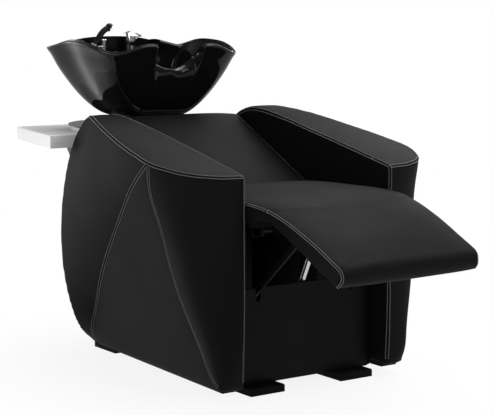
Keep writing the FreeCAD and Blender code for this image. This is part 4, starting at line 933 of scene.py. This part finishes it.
# A side panel's margin inside the rolled edge and its depth, in metres, the underside's share of the
# edge's roll, and the share of the half width within which a top is free to swell.
PANEL_MARGIN = 0.0025
PANEL_DEPTH = 0.0004
UNDERSIDE_ROLL = 0.3
FREE_SHARE = 0.93


class Cushion:
    """A boxed cushion: a side outline with a crowned top, rolled edges and flat side panels."""

    def __init__(self, name, top, under, half_width, crown, step=0.0065):
        """top runs front to back and under back to front, as (along, height) in metres. half_width and
        crown are functions of the place along. step is the mesh's along the top, half of the underside's."""
        self.half_width = half_width
        self.roll = bpy.context.scene.wash_bed_vinyl.roll
        upper = resample([Vector((0, *point)) for point in top], step)
        lower = []
        corners = [Vector((0, *point)) for point in under]
        for first, second in zip(corners, corners[1:]):
            count = max(1, round((second - first).length / (2 * step)))
            lower += [first.lerp(second, index / count) for index in range(count)]
        lower = lower[1:]
        self.loop = [Vector((point.y, point.z)) for point in upper + lower]
        self.top_count = len(upper)
        self.normals = []
        for index in range(len(self.loop)):
            run = self.loop[(index + 1) % len(self.loop)] - self.loop[index - 1]
            self.normals.append(Vector((-run.y, run.x)).normalized())
        shell = bmesh.new()
        self.held = []
        rings = [
            self.ring(shell, share, rolled, crown)
            for share, rolled in cushion_stations(self.roll / half_width(self.loop[0].x))]
        rings = [self.panel_ring(shell, -1)] + rings + [self.panel_ring(shell, 1)]
        count = len(self.loop)
        for first, second in zip(rings, rings[1:]):
            for index in range(count):
                ahead = (index + 1) % count
                shell.faces.new((first[index], first[ahead], second[ahead], second[index]))
        caps = [shell.faces.new(rings[0]), shell.faces.new(list(reversed(rings[-1])))]
        bmesh.ops.triangulate(shell, faces=caps)
        shell.verts.index_update()
        bmesh.ops.recalc_face_normals(shell, faces=shell.faces)
        mesh = bpy.data.meshes.new(name)
        shell.to_mesh(mesh)
        shell.free()
        self.piece = bpy.data.objects.new(name, mesh)
        bpy.context.scene.collection.objects.link(self.piece)

    def ring(self, shell, share, rolled, crown):
        """The side outline at a share of the half width. Only the unrolled top is free to be blown up."""
        made = []
        for index, (point, normal) in enumerate(zip(self.loop, self.normals)):
            on_top = index < self.top_count
            rise = -self.roll * rolled * (1.0 if on_top else UNDERSIDE_ROLL)
            if on_top:
                rise += crown(point.x) * (1 - abs(share) ** 4)
            place = point + normal * rise
            made.append(shell.verts.new((share * self.half_width(point.x), place.x, place.y)))
            free = on_top and rolled == 0 and abs(share) < FREE_SHARE
            self.held.append(0.0 if free else 1.0)
        return made

    def panel_ring(self, shell, side):
        """A loop drawn in on the side panel, so that the panel is shaded flat."""
        made = []
        for point, normal in zip(self.loop, self.normals):
            place = point - normal * (self.roll + PANEL_MARGIN)
            made.append(shell.verts.new((side * (self.half_width(point.x) - PANEL_DEPTH), place.x, place.y)))
        if side < 0:
            self.held = [1.0] * len(made)
        else:
            self.held += [1.0] * len(made)
        return made

    def edge(self, side, low=-math.inf, high=math.inf, depth=0.1):
        """The line along the rolled edge of one side between two places, some depth into the roll."""
        return [
            Vector((
                side * (self.half_width(point.x) - depth * self.roll),
                point.x - normal.x * depth * self.roll, point.y - normal.y * depth * self.roll))
            for point, normal in zip(self.loop[:self.top_count], self.normals) if low <= point.x <= high]


# Side outlines of the cushions in millimetres: the seat's and legrest's as along and height, the
# backrest's up its slope and square to it.
SEAT_TOP = (
    (-391, 377), (-400, 380), (-410, 391), (-414, 405), (-410, 420), (-400, 430), (-385, 437), (-345, 456),
    (-295, 479), (-205, 514), (-130, 537), (-62, 551), (-20, 556), (50, 560), (150, 562), (262, 558),
    (375, 547))
SEAT_UNDER = ((375, 547), (394, 508), (-40, 508), (-66, 530), (-140, 501), (-391, 377))
KNEE_TAB = -84.0
BACK_START = (385, 548)
BACK_ANGLE = 26.4
BACK_TOP = (
    (2, 0), (110, 0), (220, 0), (330, 0), (438, 0), (453, -6), (461, -16), (464, -29), (461, -42), (453, -52))
BACK_UNDER = ((453, -52), (440, -58), (2, -58), (2, 0))

# Widths of the cushions in metres. The seat widens behind the knee, and the legrest's tip is rounded.
LEG_HALF_WIDTH = 0.2500
BACK_HALF_WIDTH = 0.2565
SEAT_WIDER = 0.0065
SEAT_WIDENS_OVER = 0.05
NOSE_START = -0.845
NOSE_RUN = 0.030
NOSE_ROUND = 0.008
TAB_SEARCH = 0.004

# How full the cushions are: the share of the swell limit that they use, crowns in metres, where and over
# what runs the seat's fades in millimetres from the arms' front, the size and height of its slow hills, and
# how far a normal counts as the top's.
SWELL_USED = 0.3
SEAT_CROWN = 0.0150
BACK_CROWN = 0.008
CROWN_REAR_RUN = 55
CROWN_LEFT_AT_BACK = 0.3
CROWN_FRONT = -418
CROWN_FRONT_RUN = 230
HILL_SIZE = 0.11
HILL_HEIGHT = 0.0012
TOP_FACING = 0.3
SIDE_FACING = 0.4

# Folds across the knee: place along, width and share of the height of each, then how they gather at the
# tabs and fan out and fade towards the middle, and the one wide swell in front of them, in metres.
PLEATS = ((-0.060, 0.016, 0.8), (-0.024, 0.010, 1.0), (0.008, 0.009, 1.0), (0.040, 0.012, 0.8))
PLEAT_HEIGHT = 0.0046
PLEAT_GATHER = 0.14
PLEAT_FAN = 1.1
PLEAT_FAN_REACH = 0.095
PLEAT_REACH = 0.15
PLEAT_EDGE = 0.010
PLEAT_LEAST = 0.002
SWELL_ALONG = -0.05
SWELL_WIDTH = 0.035
SWELL_EDGE = 0.06
SWELL_SHARE = 0.4

# The right side of the legrest's cover in metres: its tip is drawn back and raised over a run from the
# knee, and a low hill crosses the knee.
TIP_RUN = 0.25
TIP_DRAWN_BACK = 0.013
TIP_RISE = 0.003
KNEE_HILL = 0.010
KNEE_HILL_REAR = 0.19
KNEE_HILL_RUN = 0.41


def pleats(piece, centre, half_width, height):
    """Soft folds across the knee that gather at a tab on each side edge."""
    mesh = piece.data
    normals = [vertex.normal.copy() for vertex in mesh.vertices]
    for vertex, normal in zip(mesh.vertices, normals):
        if normal.z < TOP_FACING:
            continue
        along = vertex.co.y - centre
        inside = max(half_width - abs(vertex.co.x), 0.0)
        spread = PLEAT_GATHER + PLEAT_FAN * rise_over(inside, PLEAT_FAN_REACH)
        strength = math.exp(-inside / PLEAT_REACH) * rise_over(inside, PLEAT_EDGE)
        total = 0.0
        for shift, width, size in PLEATS:
            gap = along - shift * spread
            total += size * math.exp(-(gap / (width * spread + PLEAT_LEAST)) ** 2)
        wide = math.exp(-((along - SWELL_ALONG) / SWELL_WIDTH) ** 2) * rise_over(inside, SWELL_EDGE)
        vertex.co += normal * (height * strength * total + SWELL_SHARE * height * wide)
    mesh.update()


def rise_over(distance, reach):
    """0 at no distance, and towards 1 past the reach."""
    return 1 - math.exp(-distance / reach)


def skew_tip(piece, knee):
    """The legrest's cover is drawn back and stuffed a little higher on its right side."""
    for vertex in piece.data.vertices:
        share = share_of(knee - vertex.co.y, TIP_RUN)
        right = (vertex.co.x + LEG_HALF_WIDTH) / (2 * LEG_HALF_WIDTH)
        vertex.co.y += eased(TIP_DRAWN_BACK, share) * right * right
        hill = math.sin(math.pi * share_of(knee + KNEE_HILL_REAR - vertex.co.y, KNEE_HILL_RUN))
        vertex.co.z += (eased(TIP_RISE, share) + KNEE_HILL * hill * right) * right
    piece.data.update()


def uneven(piece, size, height):
    """Slow, slight hills in a stuffed cover's top, about size apart."""
    mesh = piece.data
    normals = [vertex.normal.copy() for vertex in mesh.vertices]
    for vertex, normal in zip(mesh.vertices, normals):
        if normal.z > TOP_FACING and abs(normal.x) < SIDE_FACING:
            vertex.co += normal * height * noise.noise(vertex.co / size)
    mesh.update()


def along_front(values):
    """(along, height) in metres from millimetres, with along counted from the front of the arms."""
    return [(along / 1000 + ARM_FRONT_Y, height / 1000) for along, height in values]


def up_the_back(values):
    """(along, height) in metres from millimetres along the backrest's slope and square to it."""
    turn = math.radians(BACK_ANGLE)
    return along_front([
        (BACK_START[0] + along * math.cos(turn) - up * math.sin(turn),
         BACK_START[1] + along * math.sin(turn) + up * math.cos(turn)) for along, up in values])


def make_seat():
    """One cover over the seat and the legrest, bending at the knee."""
    knee = KNEE_TAB / 1000 + ARM_FRONT_Y

    def half_width(along):
        wider = eased(SEAT_WIDER, share_of(along - knee, SEAT_WIDENS_OVER))
        nose = share_of(NOSE_START - along, NOSE_RUN)
        return LEG_HALF_WIDTH + wider - NOSE_ROUND * (1 - math.sqrt(1 - nose * nose))

    def crown(along):
        place = (along - ARM_FRONT_Y) * 1000
        rear = max(CROWN_LEFT_AT_BACK, share_of(BACK_START[0] - place, CROWN_REAR_RUN))
        front = share_of(place - CROWN_FRONT, CROWN_FRONT_RUN)
        return SEAT_CROWN * rear * front * (2 - front)

    settings = bpy.context.scene.wash_bed_vinyl
    cushion = Cushion(
        "seat_and_legrest_cover", along_front(SEAT_TOP), along_front(SEAT_UNDER), half_width, crown)
    piece = cushion.piece
    inflate(piece, settings.pressure, settings.swell_cap * SWELL_USED, cushion.held)
    uneven(piece, HILL_SIZE, HILL_HEIGHT)
    pleats(piece, knee, LEG_HALF_WIDTH, PLEAT_HEIGHT)
    skew_tip(piece, knee)
    finish_cover(piece, "seat_cushion", "legrest_cushion", rides=False)
    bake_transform(piece)
    for side, suffix in ((-1, "left"), (1, "right")):
        legrest_and_seat_edge = [cushion.edge(side, high=knee), cushion.edge(side, low=knee)]
        made = add_twin_seams(
            "knee_seams_" + suffix, piece, legrest_and_seat_edge, None, rows=(-0.3, 0.3))
        at_knee = cushion.edge(side, knee - TAB_SEARCH, knee + TAB_SEARCH)[0]
        made.append(add_tick("knee_tab_" + suffix, piece, at_knee, None))
        for part in made:
            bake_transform(part)


def make_backrest():
    settings = bpy.context.scene.wash_bed_vinyl
    cushion = Cushion(
        "backrest_cover", up_the_back(BACK_TOP), up_the_back(BACK_UNDER),
        lambda along: BACK_HALF_WIDTH, lambda along: BACK_CROWN)
    inflate(cushion.piece, settings.pressure, settings.swell_cap * SWELL_USED, cushion.held)
    finish_cover(cushion.piece, "backrest_cushion")
    for side, suffix in ((-1, "left"), (1, "right")):
        add_twin_seams(
            "backrest_seam_" + suffix, cushion.piece, [cushion.edge(side)], BODY_OF["backrest_cushion"],
            rows=(0.0,))


def add_tick(name, piece, place, body):
    """A short tuck sewn across a twin seam and down over the edge."""
    tree = surface_tree(piece)
    point, normal, _, _ = tree.find_nearest(place)
    side = Vector((1 if place.x > 0 else -1, 0, 0))
    line = [tree.find_nearest(point + side * shift + DOWN * drop)[0] for shift, drop in TUCK_COURSE]
    shell = bmesh.new()
    sweep(shell, line, [normal] * len(line), TUCK_RADIUS)
    return add_mesh(name, shell, body, thread_material())


# Stage


# Name, place, target, width and height of each lamp in metres, and its power in watts.
LAMPS = (
    ("backdrop_left", (-2.2, 4.2, 0.8), (-0.3, 0.3, 0.3), 2.8, 1.6, 48.0),
    ("window_left", (-3.9, 0.7, 2.3), (0.0, 0.4, 0.8), 1.1, 1.5, 16.0),
    ("window_front", (-4.2, -2.2, 1.3), (0.0, 0.0, 0.4), 1.6, 1.6, 20.0),
    ("overhead", (1.6, 0.5, 4.0), (0.0, -0.2, 0.4), 4.0, 4.0, 188.0),
    ("front_fill", (1.3, -4.2, 3.2), (0.0, -0.6, 0.5), 2.0, 1.6, 72.0),
    ("rim_right", (3.4, 2.2, 1.9), (0.0, 0.3, 0.7), 1.4, 2.0, 24.0))
ROOM_LIGHT = 0.24

# The floor as the camera sees it: its share of plain white near the chair, and the distances in metres
# from the middle between which that grows to all.
WHITE_NEAR = 0.88
WHITE_FROM = 0.40
WHITE_TO = 1.05


class WASHBED_OT_stage(bpy.types.Operator):
    """Floor, lamps, world and camera"""
    bl_idname = "washbed.stage"
    bl_label = "Stage"

    def execute(self, context):
        scene = context.scene
        settings = scene.wash_bed_stage
        half = settings.floor_size
        mesh = bpy.data.meshes.new("studio_floor")
        mesh.from_pydata(
            [(-half, -half, 0), (half, -half, 0), (half, half, 0), (-half, half, 0)], [], [(0, 1, 2, 3)])
        floor = bpy.data.objects.new("studio_floor", mesh)
        scene.collection.objects.link(floor)
        material, tree, shader = start_material("studio_floor", tuple(settings.floor_colour), 0.6)
        if tree is not None:
            patches = noise_node(tree, place_vector(tree), 0.8)
            tone = mix_node(tree, patches, tuple(settings.floor_colour), (0.84, 0.84, 0.84))
            wire(tree, tone, shader.inputs["Base Color"])
            show_white_to_camera(tree, shader)
        mesh.materials.append(material)
        self.light_world(scene)
        for lamp in LAMPS:
            self.add_lamp(scene, *lamp)
        camera_data = bpy.data.cameras.new("photo_camera")
        camera_data.lens = settings.lens
        camera_data.sensor_width = 36.0
        camera_data.sensor_fit = "HORIZONTAL"
        camera = bpy.data.objects.new("photo_camera", camera_data)
        scene.collection.objects.link(camera)
        camera.location = Vector(settings.camera_place)
        direction = Vector(settings.camera_target) - camera.location
        camera.rotation_euler = direction.to_track_quat("-Z", "Y").to_euler()
        scene.camera = camera
        scene.view_settings.view_transform = "Standard"
        return {"FINISHED"}

    @staticmethod
    def light_world(scene):
        """A white background, which lights the room only a little."""
        world = bpy.data.worlds.new("studio")
        world.use_nodes = True
        tree = world.node_tree
        background = tree.nodes["Background"]
        path = tree.nodes.new("ShaderNodeLightPath")
        seen = math_node(tree, "MAXIMUM", path.outputs["Is Camera Ray"], path.outputs["Is Transmission Ray"])
        strength = tree.nodes.new("ShaderNodeMapRange")
        strength.inputs["To Min"].default_value = ROOM_LIGHT
        strength.inputs["To Max"].default_value = 1.0
        wire(tree, seen, strength.inputs["Value"])
        wire(tree, strength.outputs[0], background.inputs["Strength"])
        background.inputs["Color"].default_value = (1, 1, 1, 1)
        scene.world = world

    @staticmethod
    def add_lamp(scene, name, place, target, width, height, power):
        data = bpy.data.lights.new(name, "AREA")
        data.shape = "RECTANGLE"
        data.size = width
        data.size_y = height
        data.energy = power
        lamp = bpy.data.objects.new(name, data)
        scene.collection.objects.link(lamp)
        lamp.location = place
        lamp.rotation_euler = (Vector(target) - Vector(place)).to_track_quat("-Z", "Y").to_euler()


def show_white_to_camera(tree, shader):
    """The floor stays a lit surface near the chair, and passes into the white background away from it."""
    output = tree.nodes["Material Output"]
    glow = tree.nodes.new("ShaderNodeEmission")
    glow.inputs["Color"].default_value = (1, 1, 1, 1)
    glow.inputs["Strength"].default_value = 1.0
    distance = tree.nodes.new("ShaderNodeVectorMath")
    distance.operation = "LENGTH"
    wire(tree, place_vector(tree), distance.inputs[0])
    far = tree.nodes.new("ShaderNodeMapRange")
    far.inputs["From Min"].default_value = WHITE_FROM
    far.inputs["From Max"].default_value = WHITE_TO
    far.inputs["To Min"].default_value = WHITE_NEAR
    far.inputs["To Max"].default_value = 1.0
    wire(tree, distance.outputs["Value"], far.inputs["Value"])
    path = tree.nodes.new("ShaderNodeLightPath")
    direct = math_node(tree, "MAXIMUM", path.outputs["Is Camera Ray"], path.outputs["Is Glossy Ray"])
    seen = math_node(tree, "MULTIPLY", direct, far.outputs[0])
    blend = tree.nodes.new("ShaderNodeMixShader")
    wire(tree, seen, blend.inputs[0])
    wire(tree, shader.outputs[0], blend.inputs[1])
    wire(tree, glow.outputs[0], blend.inputs[2])
    wire(tree, blend.outputs[0], output.inputs["Surface"])


# Pieces


class WASHBED_OT_arms(bpy.types.Operator):
    """Upholstered arms with twin seams"""
    bl_idname = "washbed.arms"
    bl_label = "Arms"

    def execute(self, context):
        for side in (1, -1):
            make_arm(side)
        return {"FINISHED"}


class WASHBED_OT_cushions(bpy.types.Operator):
    """Covers of the seat with the legrest, and of the backrest"""
    bl_idname = "washbed.cushions"
    bl_label = "Cushions"

    def execute(self, context):
        make_seat()
        make_backrest()
        return {"FINISHED"}


def dress(nodes, material):
    """Gives CAD nodes a material in their object slots."""
    for name in nodes:
        mesh = NODES[name].data
        if not mesh.materials:
            mesh.materials.append(material)
        for index in range(len(mesh.materials)):
            NODES[name].material_slots[index].link = "OBJECT"
            NODES[name].material_slots[index].material = material


def ease_edges(nodes, width, angle=35.0):
    """Small rounds on the edges of a panel and of moulded feet."""
    for name in nodes:
        node = NODES[name]
        weld = node.modifiers.new("weld", "WELD")
        weld.merge_threshold = WELD
        edges = node.modifiers.new("eased_edges", "BEVEL")
        edges.width = width
        edges.segments = 2
        edges.limit_method = "ANGLE"
        edges.angle_limit = math.radians(angle)
        edges.harden_normals = True


FEET = ("foot_front_left", "foot_front_right", "foot_rear_left", "foot_rear_right")
STEEL_FRAME = (
    "base_frame", "seat_frame", "rear_post", "legrest_frame", "stay_arm_left", "stay_arm_right",
    "hinge_bracket_left", "hinge_bracket_right", "actuator_anchor", "tilt_cradle", "basin_saddle",
    "cheek_plate_left", "cheek_plate_right")


class WASHBED_OT_metalwork(bpy.types.Operator):
    """Coated frame and panel, rubber feet, bright pins, and fixings darkened to near-black as painted shade
    """
    bl_idname = "washbed.metalwork"
    bl_label = "Metalwork"

    def execute(self, context):
        dress(STEEL_FRAME, powder_coat_material())
        dress(("front_panel",),
              powder_coat_material("satin_front_panel", (0.0016, 0.0016, 0.0018), gloss=0.42))
        dress(FEET, rubber_material())
        dress(("stay_shaft", "actuator_anchor_pin", "actuator_lever_pin", "actuator_rod", "tilt_pin"),
              steel_material())
        # Painted shade: the bolts and screws sit in shadow and are coated near-black to read as that shade,
        # not as bright steel.
        dress(("arm_bolts", "bracket_bolts", "panel_screws"),
              powder_coat_material("bolts_painted_shade_black", (0.010, 0.010, 0.0105), gloss=0.45))
        ease_edges(("front_panel", *FEET), width=0.0008)
        return {"FINISHED"}


class WASHBED_OT_boards(bpy.types.Operator):
    """Plywood boards under the upholstery"""
    bl_idname = "washbed.boards"
    bl_label = "Boards"

    def execute(self, context):
        boards = ("arm_base_left", "arm_base_right", "seat_board", "backrest_board", "legrest_board")
        # The boards' near-black colours are painted shade for the shadow they sit in.
        dress(boards, plywood_material())
        return {"FINISHED"}


class WASHBED_OT_plastics(bpy.types.Operator):
    """Actuator housings, column skirt, waste and hand shower grip"""
    bl_idname = "washbed.plastics"
    bl_label = "Plastics"

    def execute(self, context):
        dress(("actuator_motor", "actuator_tube", "actuator_collar", "waste_tail", "rear_shroud",
               "shower_handle"), moulded_plastic_material())
        return {"FINISHED"}


class WASHBED_OT_shelf(bpy.types.Operator):
    """White shelf and gloss cover plate"""
    bl_idname = "washbed.shelf"
    bl_label = "Shelf"

    def execute(self, context):
        dress(("shelf",), laminate_material())
        dress(("cover_plate",), gloss_black_material())
        return {"FINISHED"}


class WASHBED_OT_basin(bpy.types.Operator):
    """Glazed basin"""
    bl_idname = "washbed.basin"
    bl_label = "Basin"

    def execute(self, context):
        dress(("basin",), glaze_material())
        return {"FINISHED"}


class WASHBED_OT_taps(bpy.types.Operator):
    """Mixer, hand shower fittings and waste strainer"""
    bl_idname = "washbed.taps"
    bl_label = "Taps"

    def execute(self, context):
        dress(("waste_flange", "mixer_body", "mixer_cap", "mixer_lever", "shower_holder", "shower_face",
               "inlet_tails"), chrome_material())
        return {"FINISHED"}


OPERATORS = (
    WASHBED_OT_stage, WASHBED_OT_arms, WASHBED_OT_cushions, WASHBED_OT_metalwork, WASHBED_OT_boards,
    WASHBED_OT_plastics, WASHBED_OT_shelf, WASHBED_OT_basin, WASHBED_OT_taps)


class WASHBED_PT_panel(bpy.types.Panel):
    """Pieces of the hair washing bed"""
    bl_label = "Hair washing bed"
    bl_idname = "WASHBED_PT_panel"
    bl_space_type = "VIEW_3D"
    bl_region_type = "UI"
    bl_category = "Wash Bed"

    def draw(self, context):
        for operator in OPERATORS:
            self.layout.operator(operator.bl_idname)
        for name, group in SETTINGS.items():
            settings = getattr(context.scene, name)
            column = self.layout.column(align=True)
            for field in group.__annotations__:
                column.prop(settings, field)


def register():
    for name, group in SETTINGS.items():
        bpy.utils.register_class(group)
        setattr(bpy.types.Scene, name, PointerProperty(type=group))
    for operator in OPERATORS:
        bpy.utils.register_class(operator)
    bpy.utils.register_class(WASHBED_PT_panel)


def unregister():
    bpy.utils.unregister_class(WASHBED_PT_panel)
    for operator in reversed(OPERATORS):
        bpy.utils.unregister_class(operator)
    for name, group in SETTINGS.items():
        delattr(bpy.types.Scene, name)
        bpy.utils.unregister_class(group)


def main():
    register()
    for operator in OPERATORS:
        space, call = operator.bl_idname.split(".")
        getattr(getattr(bpy.ops, space), call)()


if __name__ == "__main__":
    main()
